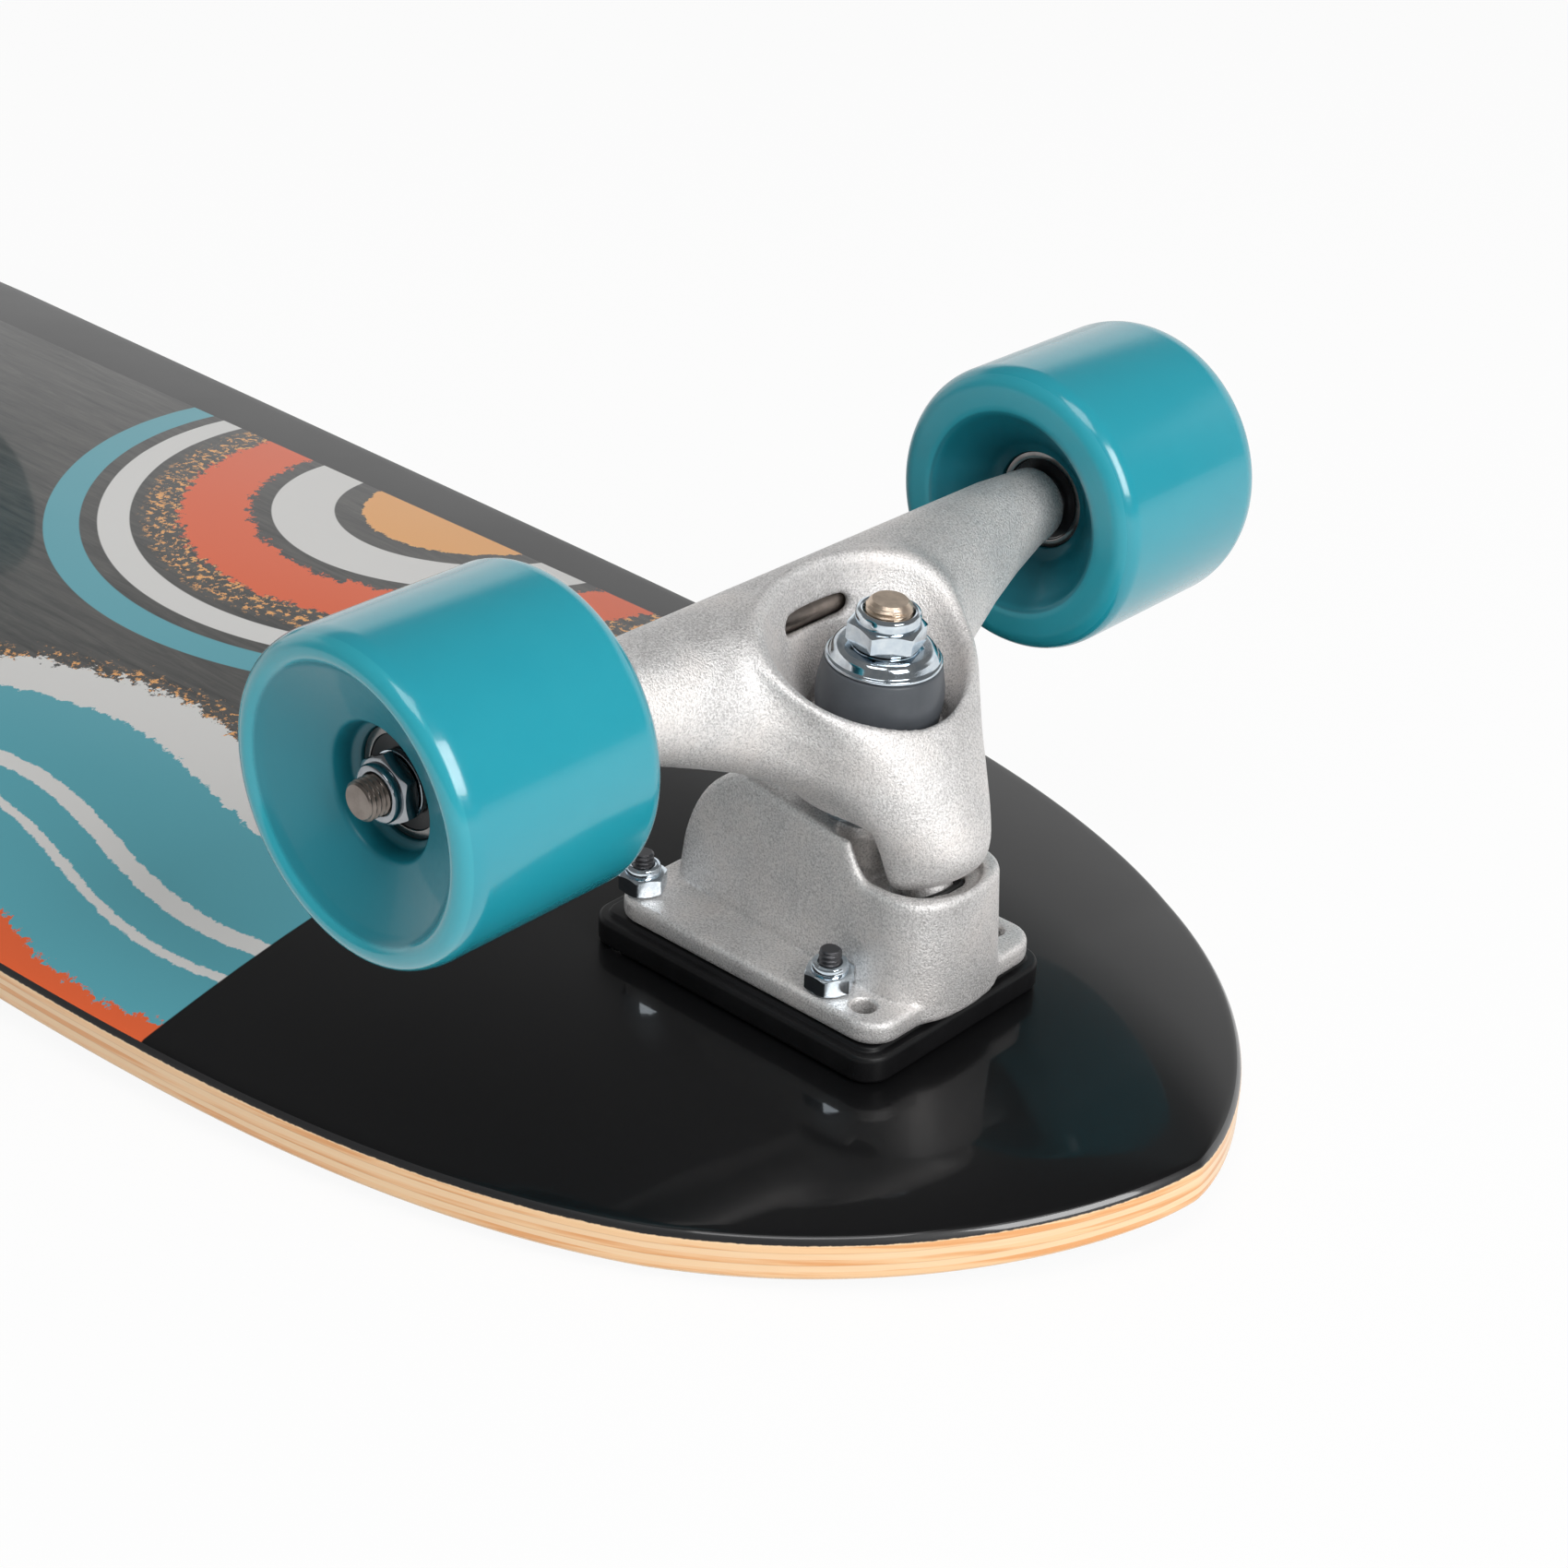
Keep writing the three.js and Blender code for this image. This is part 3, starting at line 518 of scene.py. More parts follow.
@dataclass(frozen=True)
class PlyEdge(Finish):
    """The sawn, sanded and sealed edge of the deck, with its plies, under a painted round."""

    thickness: float = 10.2
    paint_depth: float = 1.25
    plies: int = 7
    pale: tuple[Colour, Colour] = ((0.92, 0.57, 0.30), (0.97, 0.74, 0.48))
    rich: tuple[Colour, Colour] = ((0.94, 0.60, 0.32), (0.80, 0.34, 0.10))
    glue: Colour = (0.40, 0.17, 0.06)
    paint: Colour = (0.012, 0.012, 0.013)
    wobble: float = 0.7
    ragged: float = 0.35

    def dress(self, graph: Graph) -> None:
        """Reads a point's depth in the board, and colours its ply, glue line or paint.

        Args:
            graph: The graph of its material.
        """
        depth = graph.tag("depth")
        fibre = graph.noise(graph.place((0.03, 0.03, 1.0)), 1.6, 5.0, 0.7)
        streak = graph.noise(graph.place((0.02, 0.02, 0.5)), 1.0, 3.0, 0.6)
        ply = (depth + (streak - 0.5) * self.wobble) * (self.plies / self.thickness)
        odd = (ply * 0.5).math("FRACT").above(0.5, 0.06)
        rich = graph.mix(streak.above(0.5, 0.16), *self.rich)
        wood = graph.mix(odd * 0.85, graph.mix(fibre, *self.pale), rich)
        seam = ply.math("PINGPONG", 1.0).below(0.07, 0.12)
        wood = graph.mix(seam * 0.25, wood, self.glue)
        ragged = (graph.noise(graph.place(), 0.9) - 0.5) * self.ragged
        painted = depth.below(self.paint_depth + ragged, 0.18)
        graph.surface({
            "Base Color": graph.mix(painted, wood, self.paint),
            "Roughness": 0.34 + 0.16 * fibre,
            "Normal": graph.bump(fibre, 0.03),
            "Coat Weight": 0.4 + 0.6 * painted,
            "Coat Roughness": 0.07,
        })


@dataclass(frozen=True)
class FaceVeneer(Finish):
    """The standing face's maple, seen as a thin rim round the grip."""

    dark: Colour = (0.72, 0.46, 0.24)
    light: Colour = (0.86, 0.66, 0.42)

    def dress(self, graph: Graph) -> None:
        """Draws fine grain along the board.

        Args:
            graph: The graph of its material.
        """
        grain = graph.noise(graph.place((0.02, 0.5, 0.5)), 1.5, 5.0, 0.65)
        graph.surface({
            "Base Color": graph.mix(grain, self.dark, self.light),
            "Roughness": 0.45,
            "Normal": graph.bump(grain, 0.02),
        })


@dataclass(frozen=True)
class PrintedFace(Finish):
    """The painted face: glossy black with a printed panel of swell bands over stained wood.

    The origin is in world metres. The print's other places are millimetres from it. A swell is
    the length, height and start of its wave, and its slope is how steeply it crosses the board.
    """

    origin: Pair = (0.3003, 0.0)
    teal: Colour = (0.115, 0.43, 0.51)
    orange: Colour = (0.88, 0.145, 0.045)
    amber: Colour = (0.95, 0.46, 0.15)
    white: Colour = (0.80, 0.79, 0.77)
    black: Colour = (0.0055, 0.0055, 0.006)
    stains: tuple[Colour, Colour] = ((0.035, 0.036, 0.036), (0.13, 0.125, 0.115))
    pore: Colour = (0.32, 0.27, 0.2)
    edge: float = 0.35
    arcs: Pair = (-232.0, 112.0)
    swell: Place = (210.0, 13.0, 1.2)
    swell_slope: float = 0.16
    panel_ends: Pair = (-560.0, -94.0)
    panel_slant: float = 0.12
    panel_side: float = 103.0

    def dress(self, graph: Graph) -> None:
        """Lays the bands on the black one after another, each by a mask of its own.

        The arcs are bands of the distance from their middle. The swell is bands of y less its
        slope and less a sine of x. Each band's edge is made ragged by its own share of one noise.

        Args:
            graph: The graph of its material.
        """
        place = graph.place(origin=(*self.origin, 0))
        x, y, _ = graph.axes(place)
        ragged = (graph.noise(place, 0.28, 5.0, 0.75) - 0.5) * 26.0
        crumbs = graph.noise(place, 0.5, 4.0, 0.7).above(0.56, 0.03)
        length, height, start = self.swell
        line = y - x * self.swell_slope - (x * (2 * math.pi / length) + start).sine() * height
        east, north = x - self.arcs[0], y - self.arcs[1]
        away = (east * east + north * north) ** 0.5
        edge = self.edge
        layers = [
            (away.between(112.0, 122.0, edge), self.teal),
            (away.between(98.0, 107.0, edge), self.white),
            ((away + ragged * 0.3).between(82.0, 94.0, 3.0) * crumbs, self.amber),
            ((away + ragged * 0.6).between(64.0, 84.0, edge), self.orange),
            (away.between(40.0, 58.0, edge), self.white),
            ((away + ragged * 0.2).below(32.0, edge), self.amber),
            ((line + ragged).below(-2.0, 3.0) * crumbs, self.amber),
            ((line + ragged * 0.8).below(-7.0, edge), self.white),
            ((line + ragged * 0.3).below(-24.0, edge), self.teal),
            ((line + ragged * 0.12).between(-56.0, -51.0, edge), self.white),
            ((line + ragged * 0.12).between(-67.0, -64.5, edge), self.white),
            ((line + ragged * 0.5).below(-84.0, edge), self.orange),
        ]
        colour = self.stain(graph)
        for mask, ink in layers:
            colour = graph.mix(mask, colour, ink)
        graph.surface({
            "Base Color": graph.mix(self.panel(x, y), self.black, colour),
            "Roughness": 0.30 + 0.10 * graph.noise(place, 0.02, 3.0),
            "Normal": graph.bump(graph.noise(place, 0.02, 2.0, 0.4), 0.05),
            "Specular IOR Level": 0.12,
            "Coat Weight": 0.4,
            "Coat Roughness": 0.06,
        })

    def stain(self, graph: Graph) -> Socket:
        """Mixes dark stained wood: pale fibres and pores along the board.

        Args:
            graph: The graph of its material.

        Returns:
            The wood's colour.
        """
        fibre = graph.noise(graph.place((0.03, 0.35, 0.35), 0.05), 1.0, 6.0, 0.7, 0.6)
        pores = graph.noise(graph.place((0.05, 0.9, 0.9), 0.02), 1.0, 4.0, 0.8)
        tone = graph.mix(fibre.above(0.55, 0.5), *self.stains)
        return graph.mix(pores.above(0.72, 0.12) * 0.5, tone, self.pore)

    def panel(self, x: Value, y: Value) -> Value:
        """Masks the printed panel: a long band with slanted, straight ends.

        Args:
            x: Millimetres along the board from the print's origin.
            y: Millimetres across it.

        Returns:
            The mask.
        """
        tail, nose = self.panel_ends
        slanted = x + y * self.panel_slant
        ends = slanted.below(nose, self.edge) * slanted.above(tail, self.edge)
        return ends * y.below(self.panel_side, self.edge)


CASTING = BlastedCasting("blasted_casting")
RAW_STEEL = TurnedMetal("raw_steel", (0.78, 0.64, 0.51), (0.48, 0.38, 0.30), 0.36, 0.2, 0.015)
# The axle's steel is darker than the raw steel: partly the axle's own darker metal, partly painted shade for
# the axle seen deep in the hanger's slot.
DARK_AND_SHADED_AXLE_STEEL = TurnedMetal("dark_and_shaded_axle_steel", (0.27, 0.235, 0.21), (0.15, 0.125, 0.11), 0.36, 0.2, 0.02)
ZINC = TurnedMetal("bright_zinc", (0.78, 0.85, 0.90), (0.50, 0.60, 0.70), 0.10, 0.10, 0.008)
DARK_CHROME = TurnedMetal("dark_chrome", (0.36, 0.38, 0.40), (0.22, 0.24, 0.27), 0.14, 0.1, 0.006)
BLACK_STEEL = TurnedMetal("black_steel", (0.12, 0.12, 0.125), (0.06, 0.06, 0.06), 0.20, 0.10, 0.01)
RACE_STEEL = TurnedMetal("race_steel", (0.24, 0.235, 0.23), (0.13, 0.13, 0.13), 0.16, 0.08, 0.004)
RISER_PLASTIC = Moulding("riser_plastic")
SHIELD = Moulding("bearing_shield", (0.010, 0.010, 0.011), 0.3, 0.006, 2.0)
CUP_LINER = Moulding("cup_liner", (0.010, 0.010, 0.010), 0.55, 0.015, 2.0)
BUSHING = Moulding("bushing_urethane", (0.060, 0.066, 0.074), 0.36, 0.010, 1.5)
WHEEL = PouredUrethane("wheel_urethane")
GRIT = Grit("grip_grit")
PRINT = PrintedFace("printed_face")
PLY = PlyEdge("ply_edge")
VENEER = FaceVeneer("face_veneer")


# Shapes


@dataclass
class Shape:
    """Points and the faces that join them.

    Attributes:
        points: One row of three coordinates for each point.
        faces: Arrays of point numbers, one for each count of corners.
        slots: For each of those arrays, the finish of each face.
        tags: Named numbers that the points carry into their finish.
    """

    points: Array
    faces: list[Array]
    slots: list[Array]
    tags: dict[str, Array] = field(default_factory=dict)

    def volume(self) -> float:
        """Adds up a sixth of the triple product of each triangle's corners.

        Returns:
            The volume, below 0 where the shape is inside out.
        """
        total = 0.0
        for faces in self.faces:
            for corner in range(1, faces.shape[1] - 1):
                a, b, c = (self.points[faces[:, i]] for i in (0, corner, corner + 1))
                total += float(np.einsum("ij,ij->", a, np.cross(b, c))) / 6.0
        return total

    def outward(self) -> Shape:
        """Turns every face round where the shape is inside out.

        Returns:
            The shape itself.
        """
        if self.volume() < 0.0:
            self.faces = [faces[:, ::-1] for faces in self.faces]
        return self

    def placed(self, matrix: Array) -> Shape:
        """A new shape whose every point p is a 4 by 4 matrix times p."""
        points = self.points @ matrix[:3, :3].T + matrix[:3, 3]
        return Shape(points, self.faces, self.slots, self.tags)


def skin(grid: Array, wrap: bool = False, row_slots: Array | None = None,
         row_tags: Mapping[str, Array] | None = None) -> Shape:
    """Joins a grid of points whose columns close on themselves into a closed shape.

    Args:
        grid: Points by row and column. A first or last row of one repeated point is a pole.
        wrap: Whether the last row joins the first.
        row_slots: The finish of each band between two rows.
        row_tags: Numbers that the points carry, by row or by row and column.

    Returns:
        The shape: a quad for each cell, and a triangle at each pole, facing out.
    """
    rows, columns = grid.shape[:2]
    index = np.arange(rows * columns).reshape(rows, columns)
    poles = [] if wrap else [
        row for row in (0, rows - 1) if np.ptp(grid[row], axis=0).max() < 1e-9
    ]
    for row in poles:
        index[row] = index[row, 0]
    low = index if wrap else index[:-1]
    high = np.roll(index, -1, axis=0) if wrap else index[1:]
    cells = np.stack([low, np.roll(low, -1, 1), np.roll(high, -1, 1), high], axis=-1)
    bands = np.zeros(len(cells), int) if row_slots is None else np.asarray(row_slots)
    slots = np.repeat(bands[:, None], columns, axis=1)
    faces, face_slots = [], []
    start, stop = (1 if 0 in poles else 0), len(cells) - (1 if rows - 1 in poles else 0)
    if 0 in poles:
        faces.append(cells[0][:, [0, 2, 3]])
        face_slots.append(slots[0])
    if rows - 1 in poles:
        faces.append(cells[-1][:, [0, 1, 2]])
        face_slots.append(slots[-1])
    faces.append(cells[start:stop].reshape(-1, 4))
    face_slots.append(slots[start:stop].ravel())
    used, renamed = np.unique(np.concatenate([f.ravel() for f in faces]), return_inverse=True)
    splits = np.cumsum([f.size for f in faces])[:-1]
    faces = [part.reshape(f.shape) for part, f in zip(np.split(renamed, splits), faces)]
    tags = {
        name: np.broadcast_to(
            tag[:, None] if tag.ndim == 1 else tag, (rows, columns)
        ).ravel()[used]
        for name, tag in (row_tags or {}).items()
    }
    shape = Shape(grid.reshape(-1, 3)[used], faces, face_slots, tags)
    return shape.outward()


def rounded(corners: Sequence[Numbers], cuts: Numbers | float,
            steps: int = 4, closed: bool = False) -> tuple[Array, Array]:
    """Rounds the corners of a profile.

    Each corner P between unit directions d and e to its neighbours becomes the curve
    P + (1 - t)^2 c d + t^2 c e, where c is its cut, held under half of its shorter side.

    Args:
        corners: The profile's corners.
        cuts: How far each rounding reaches along its sides, or one reach for all.
        steps: How many steps each rounding has.
        closed: Whether the last corner joins the first.

    Returns:
        The rounded profile, and the number of the corner that each of its points comes from.
    """
    points = np.asarray(corners, float)
    reach = np.broadcast_to(np.asarray(cuts, float), len(points)).copy()
    before = np.roll(points, 1, axis=0) - points
    after = np.roll(points, -1, axis=0) - points
    length_before = np.linalg.norm(before, axis=1)
    length_after = np.linalg.norm(after, axis=1)
    if not closed:
        reach[[0, -1]] = 0.0
    reach = np.minimum(reach, 0.48 * np.minimum(length_before, length_after))
    t = np.linspace(0.0, 1.0, steps + 1)[None, :, None]
    entry = (before / length_before[:, None] * reach[:, None])[:, None, :]
    leave = (after / length_after[:, None] * reach[:, None])[:, None, :]
    curve = points[:, None, :] + (1 - t) ** 2 * entry + t**2 * leave
    flat = curve.reshape(-1, points.shape[1])
    owner = np.repeat(np.arange(len(points)), steps + 1)
    keep = np.ones(len(flat), bool)
    keep[1:] = np.linalg.norm(np.diff(flat, axis=0), axis=1) > 1e-7
    return flat[keep], owner[keep]


def swept(radius: Array, height: Array, angles: Array) -> Array:
    """The points (r cos a, r sin a, h) of radii and heights by row and angle."""
    radius, height, angles = np.broadcast_arrays(radius, height, angles)
    return np.stack([radius * np.cos(angles), radius * np.sin(angles), height], axis=-1)


def whole_turn(sides: int) -> Array:
    """The angles of a whole turn in even steps."""
    return np.linspace(0.0, 2 * math.pi, sides, endpoint=False)


def lathe(corners: Sequence[Numbers], cuts: Numbers | float = 0.2,
          sides: int = 64, steps: int = 4, side_slots: Sequence[int] | None = None,
          **tags: Numbers) -> Shape:
    """Turns a rounded profile of (radius, height) round +Z.

    The point of the profile at (r, h) sweeps (r cos a, r sin a, h) for a full turn of a.

    Args:
        corners: The profile. It starts and ends on the axis, or else closes on itself.
        cuts: The reach of each corner's rounding.
        sides: How many steps the turn has.
        steps: How many steps each rounding has.
        side_slots: The finish of the side after each corner.
        tags: Numbers that the piece carries, one for each corner.

    Returns:
        The turned shape.
    """
    closed = corners[0][0] > 0.0
    profile, owner = rounded(corners, cuts, steps, closed)
    grid = swept(profile[:, :1], profile[:, 1:], whole_turn(sides))
    bands = None
    if side_slots is not None:
        bands = np.asarray(side_slots)[owner]
        bands = bands if closed else bands[:-1]
    carried = {name: np.asarray(tag, float)[owner] for name, tag in tags.items()}
    return skin(grid, closed, bands, carried)


def ring(bore: float, outer: float, foot: float, thickness: float, cut: float = 0.15,
         sides: int = 48, steps: int = 3) -> Shape:
    """A washer or spacer round +Z between two radii, on its lower face's height."""
    top = foot + thickness
    return lathe([(bore, foot), (outer, foot), (outer, top), (bore, top)], cut, sides, steps)


def polar(rows: Sequence[tuple[object, object]], angles: Array, wrap: bool = False) -> Shape:
    """A shape round +Z from rows of radius and height, each one number or one for each angle."""
    radius, height = (np.stack([np.broadcast_to(row[i], angles.shape) for row in rows]) for i in (0, 1))
    return skin(swept(radius, height, angles), wrap)


def hexagon(flats: float, angles: Array, crispness: float = 60.0) -> Array:
    """A hexagon's radius at each angle: half its flats over the p-norm of the cosines to its sides."""
    facing = np.maximum(np.cos(angles[:, None] - np.arange(6) * (math.pi / 3)), 0.0)
    return flats / 2 / np.sum(facing**crispness, axis=1) ** (1 / crispness)


@dataclass(frozen=True)
class Nut:
    """A hexagon nut with chamfered corners, a round collar over it, and a bore."""

    flats: float
    hex_height: float
    collar_radius: float
    collar_height: float
    bore: float
    washer_face: float
    turn: float = 0.0
    crown_share: float = 0.955
    cone: float = 30.0
    sides: int = 96

    def shape(self, foot: float) -> Shape:
        """Builds the nut as rows by angle, with the bore between the last and the first.

        The hexagon meets a cone of 30 degrees at each end, so a row of the side ends where the
        hexagon's radius h at that angle reaches the cone: (h - crown) tan 30 from the face.

        Args:
            foot: The height of its lower face.

        Returns:
            The nut round +Z.
        """
        angles = whole_turn(self.sides)
        hexes = hexagon(self.flats, angles + self.turn)
        crown = self.flats / 2 * self.crown_share
        fall = np.maximum(hexes - crown, 0.0) * math.tan(math.radians(self.cone))
        top, rim = self.hex_height, self.hex_height + self.collar_height
        bore, collar = self.bore, self.collar_radius
        neck = min(collar, crown - 0.3)
        rows = [
            (bore, 0.35), (bore + 0.35, 0), (crown, 0), (crown, self.washer_face),
            (hexes, self.washer_face + fall * 0.6), (hexes, top - fall),
            (np.minimum(crown, hexes), top), (neck, top), (neck, top + 0.25),
            (collar, top + 0.55), (collar, rim - 0.7), (collar - 0.25, rim - 0.25),
            (collar - 0.8, rim), (bore + 0.5, rim), (bore + 0.15, rim - 0.15), (bore, rim - 0.5),
        ]
        return polar(rows, angles, wrap=True).placed(moved(0, 0, foot))


@dataclass(frozen=True)
class Thread:
    """A threaded bar with a chamfered end."""

    radius: float
    pitch: float
    depth: float
    end_chamfer: float = 0.7

    def rows(self, foot: float, top: float, angles: Array,
             fade: float = 2.0) -> tuple[Array, Array]:
        """The threaded side as radius and height by row and angle.

        At height z and angle a the radius is R - depth w, where w is a triangle wave of
        z / pitch - a / turn, faded in above the foot, and no more than the end's cone allows.

        Args:
            foot: Where the thread starts.
            top: Where the bar ends.
            angles: The angles of the columns.
            fade: The run in which the thread reaches its depth.

        Returns:
            Radii and heights.
        """
        count = max(8, int((top - foot) / self.pitch * 10))
        height = np.linspace(foot, top, count)[:, None]
        wave = np.abs(2 * ((height / self.pitch - angles / (2 * math.pi)) % 1.0) - 1)
        shaped = np.clip(wave * 1.25 - 0.1, 0.0, 1.0)
        depth = self.depth * np.clip((height - foot) / fade, 0.0, 1.0)
        radius = self.radius - depth * shaped
        cone = self.radius - self.end_chamfer + (top - height)
        return np.minimum(radius, cone), np.broadcast_to(height, radius.shape)

    def both_ends(self, foot: float, half: float, sides: int = 48) -> Shape:
        """A bar that is threaded alike at both ends.

        Args:
            foot: Where the upper thread starts.
            half: Half the bar's length.
            sides: How many steps a turn has.

        Returns:
            The bar round +Z, with its middle at the origin.
        """
        angles = whole_turn(sides)[None, :]
        radius, height = self.rows(foot, half, angles)
        tip, end = radius[-1:], height[-1:]
        radius = np.concatenate([0 * tip, radius[::-1], radius, tip * 0.72, 0 * tip])
        height = np.concatenate([-end, -height[::-1], height, end + 0.08, end + 0.1])
        return skin(swept(radius, height, angles))


# Placing


def moved(x: float, y: float, z: float) -> Array:
    """The matrix of a move."""
    return np.block([[np.eye(3), np.array([[x], [y], [z]])], [np.zeros((1, 3)), 1.0]])


def turned(axis: str, angle: float) -> Array:
    """The matrix of a turn about X, Y or Z by an angle in radians."""
    return np.array(Matrix.Rotation(angle, 4, axis))


def read_truck_frame(end: End) -> Array:
    """Finds where a truck stands from the record's joints.

    The steer joint lies on the pivot and the spin joints on the axle, so the line between the
    two gives the truck's tilt about Y, and the pivot gives its place.

    Args:
        end: Which truck.

    Returns:
        The matrix from the truck's millimetres to world metres.
    """
    at = {joint["name"]: np.array(joint["pos_m"], float) for joint in frame["joints"]}
    steer, spin = at[f"{end.value}_steer"], at[f"{end.value}_left_spin"]
    facing = 1.0 if end is End.FRONT else -1.0
    run, rise = (spin - steer)[0] * facing, (spin - steer)[2]
    own = math.atan2(SIZES.axle_height - SIZES.pivot_height, SIZES.axle_x - SIZES.pivot_x)
    tilt = own - math.atan2(rise, run)
    matrix = np.diag([METRES_PER_MM] * 3 + [1.0]) @ turned("Y", tilt)
    if end is End.REAR:
        matrix = turned("Z", math.pi) @ matrix
    foot = matrix[:3, :3] @ np.array([SIZES.pivot_x, 0.0, SIZES.pivot_height])
    matrix[:3, 3] = steer - foot
    return matrix


def add_object(name: str, data: bpy.types.ID) -> bpy.types.Object:
    """Puts a new object in the scene.

    Args:
        name: Its name.
        data: Its mesh, lamp or camera.

    Returns:
        The object.
    """
    made = bpy.data.objects.new(name, data)
    bpy.context.scene.collection.objects.link(made)
    return made


def make_piece(node: str, shape: Shape, finishes: Sequence[Finish], slot: Slot,
               body: str, replaced: Sequence[str] | None = None,
               sharp: float = 32.0) -> bpy.types.Object:
    """Makes the object of a finished piece.

    Args:
        node: The piece's name: its CAD node's name, or that and a word for a part of it.
        shape: Its shape in world metres.
        finishes: Its finishes, by the numbers that its faces carry.
        slot: The record's slot of its main finish. It is not used.
        body: The body that it rides on.
        replaced: The CAD nodes that it stands for, if not just its own.
        sharp: The least angle in degrees at which an edge stays sharp.

    Returns:
        The object, placed and riding.
    """
    mesh = bpy.data.meshes.new(f"{node}_finished")
    mesh.vertices.add(len(shape.points))
    mesh.vertices.foreach_set("co", shape.points.astype(np.float32).ravel())
    corners = np.concatenate([faces.ravel() for faces in shape.faces])
    mesh.loops.add(len(corners))
    mesh.loops.foreach_set("vertex_index", corners.astype(np.int32))
    counts = np.concatenate([np.full(len(faces), faces.shape[1]) for faces in shape.faces])
    mesh.polygons.add(len(counts))
    mesh.polygons.foreach_set("loop_start", (np.cumsum(counts) - counts).astype(np.int32))
    mesh.polygons.foreach_set("material_index", np.concatenate(shape.slots).astype(np.int32))
    mesh.polygons.foreach_set("use_smooth", np.ones(len(counts), bool))
    mesh.update(calc_edges=True)
    mesh.validate()
    mesh.set_sharp_from_angle(angle=math.radians(sharp))
    for name, tag in shape.tags.items():
        carried = mesh.attributes.new(name, "FLOAT", "POINT")
        carried.data.foreach_set("value", tag.astype(np.float32))
    made = add_object(f"{node}_finished", mesh)
    for finish in finishes:
        mesh.materials.append(finish.material())
    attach(made, body)
    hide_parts(*([node] if replaced is None else replaced))
    LOG.info("%s: %d faces on %s", made.name, len(counts), body)
    return made


# Castings, worked out as distance fields


def rotated(a: Array, b: Array, angle: float) -> tuple[Array, Array]:
    """The pair (a, b) turned by an angle: a cos - b sin, and a sin + b cos."""
    cos, sin = math.cos(angle), math.sin(angle)
    return a * cos - b * sin, a * sin + b * cos


class Field:
    """Signed distances on a regular grid, negative inside the metal, for a rounded casting."""

    def __init__(self, low: Numbers, high: Numbers, pitch: float) -> None:
        """Lays out the grid.

        Args:
            low: Its lowest corner.
            high: Its highest corner.
            pitch: The distance between its points.
        """
        self.low, self.pitch = np.array(low, float), pitch
        axes = [
            np.arange(a, b + pitch, pitch, dtype=np.float32) for a, b in zip(low, high)
        ]
        self.x, self.y, self.z = np.ix_(*axes)
        self.distance = np.full([len(axis) for axis in axes], 1e3, np.float32)

    @staticmethod
    def blend(a: Array, b: Array, reach: float) -> Array:
        """The smaller of two distances, with a fillet of some reach where they are alike."""
        share = np.clip(0.5 + 0.5 * (b - a) / reach, 0.0, 1.0)
        return b * (1 - share) + a * share - reach * share * (1 - share)

    def add(self, distance: Array, reach: float) -> None:
        """Joins a form, with a fillet of some reach."""
        self.distance = self.blend(self.distance, distance, reach)

    def cut(self, distance: Array, reach: float) -> None:
        """Takes a form away, with a round edge of some reach."""
        self.distance = -self.blend(-self.distance, distance, reach)

    def bar(self, axis: Numbers, radius: float, foot: float, top: float, edge: float = 0.2) -> Array:
        """The distance to a round bar: outside its side and ends by the longer of the two.

        Args:
            axis: The x and z where its axis starts, and the axis's lean towards +X in radians.
            radius: Its radius.
            foot: Its lower end along the axis.
            top: Its upper end along the axis.
            edge: The rounding of its edges.

        Returns:
            The distances.
        """
        across, along = rotated(self.x - axis[0], self.z - axis[1], axis[2])
        side = np.hypot(across, self.y) - (radius - edge)
        end = np.abs(along - (top + foot) / 2) - ((top - foot) / 2 - edge)
        outside = np.hypot(np.maximum(side, 0), np.maximum(end, 0))
        return outside + np.minimum(np.maximum(side, end), 0) - edge

    def upright(self, x: float, y: float, radius: float) -> Array:
        """The distance to an endless upright bar."""
        return np.hypot(self.x - x, self.y - y) - radius + 0 * self.z

    def box(self, low: Numbers, high: Numbers, edge: float) -> Array:
        """The distance to a box with round edges.

        Args:
            low: Its lowest corner.
            high: Its highest corner.
            edge: The rounding of its edges.

        Returns:
            The distances.
        """
        middle, half = (np.add(low, high) / 2), (np.subtract(high, low) / 2 - edge)
        gaps = [np.abs(a - m) - h for a, m, h in zip((self.x, self.y, self.z), middle, half)]
        outside = np.sqrt(sum(np.maximum(gap, 0) ** 2 for gap in gaps))
        inside = np.minimum(np.maximum(np.maximum(gaps[0], gaps[1]), gaps[2]), 0)
        return outside + inside - edge

    def shape(self) -> Shape:
        """Draws the surface where the distance is zero.

        Each cell with metal at some of its corners and none at others gets one point, the mean
        of where its edges cross zero, and each crossed edge joins its four cells in a quad.

        Returns:
            The surface, in the field's own frame.
        """
        values = self.distance
        metal = values < 0
        corners = [(i, j, k) for i in (0, 1) for j in (0, 1) for k in (0, 1)]
        size = np.array(values.shape) - 1
        views = [tuple(slice(o, o + n) for o, n in zip(c, size)) for c in corners]
        count = sum(metal[view].astype(np.int8) for view in views)
        cells = np.stack(np.nonzero((count > 0) & (count < 8)), axis=-1)
        number = np.full(tuple(size), -1, np.int32)
        number[tuple(cells.T)] = np.arange(len(cells))
        at = {c: values[tuple((cells + c).T)] for c in corners}
        total, crossings = np.zeros((len(cells), 3)), np.zeros(len(cells))
        for axis in range(3):
            for corner in [c for c in corners if c[axis] == 0]:
                far = tuple(1 if i == axis else c for i, c in enumerate(corner))
                near_value, far_value = at[corner], at[far]
                crossed = (near_value < 0) != (far_value < 0)
                share = near_value / np.where(crossed, near_value - far_value, 1.0)
                place = np.array(corner, float) + np.eye(3)[axis] * share[:, None]
                total += place * crossed[:, None]
                crossings += crossed
        points = (cells + total / crossings[:, None]) * self.pitch + self.low
        quads = np.concatenate([self.crossed_quads(metal, number, axis) for axis in range(3)])
        return Shape(points, [quads], [np.zeros(len(quads), int)]).outward()

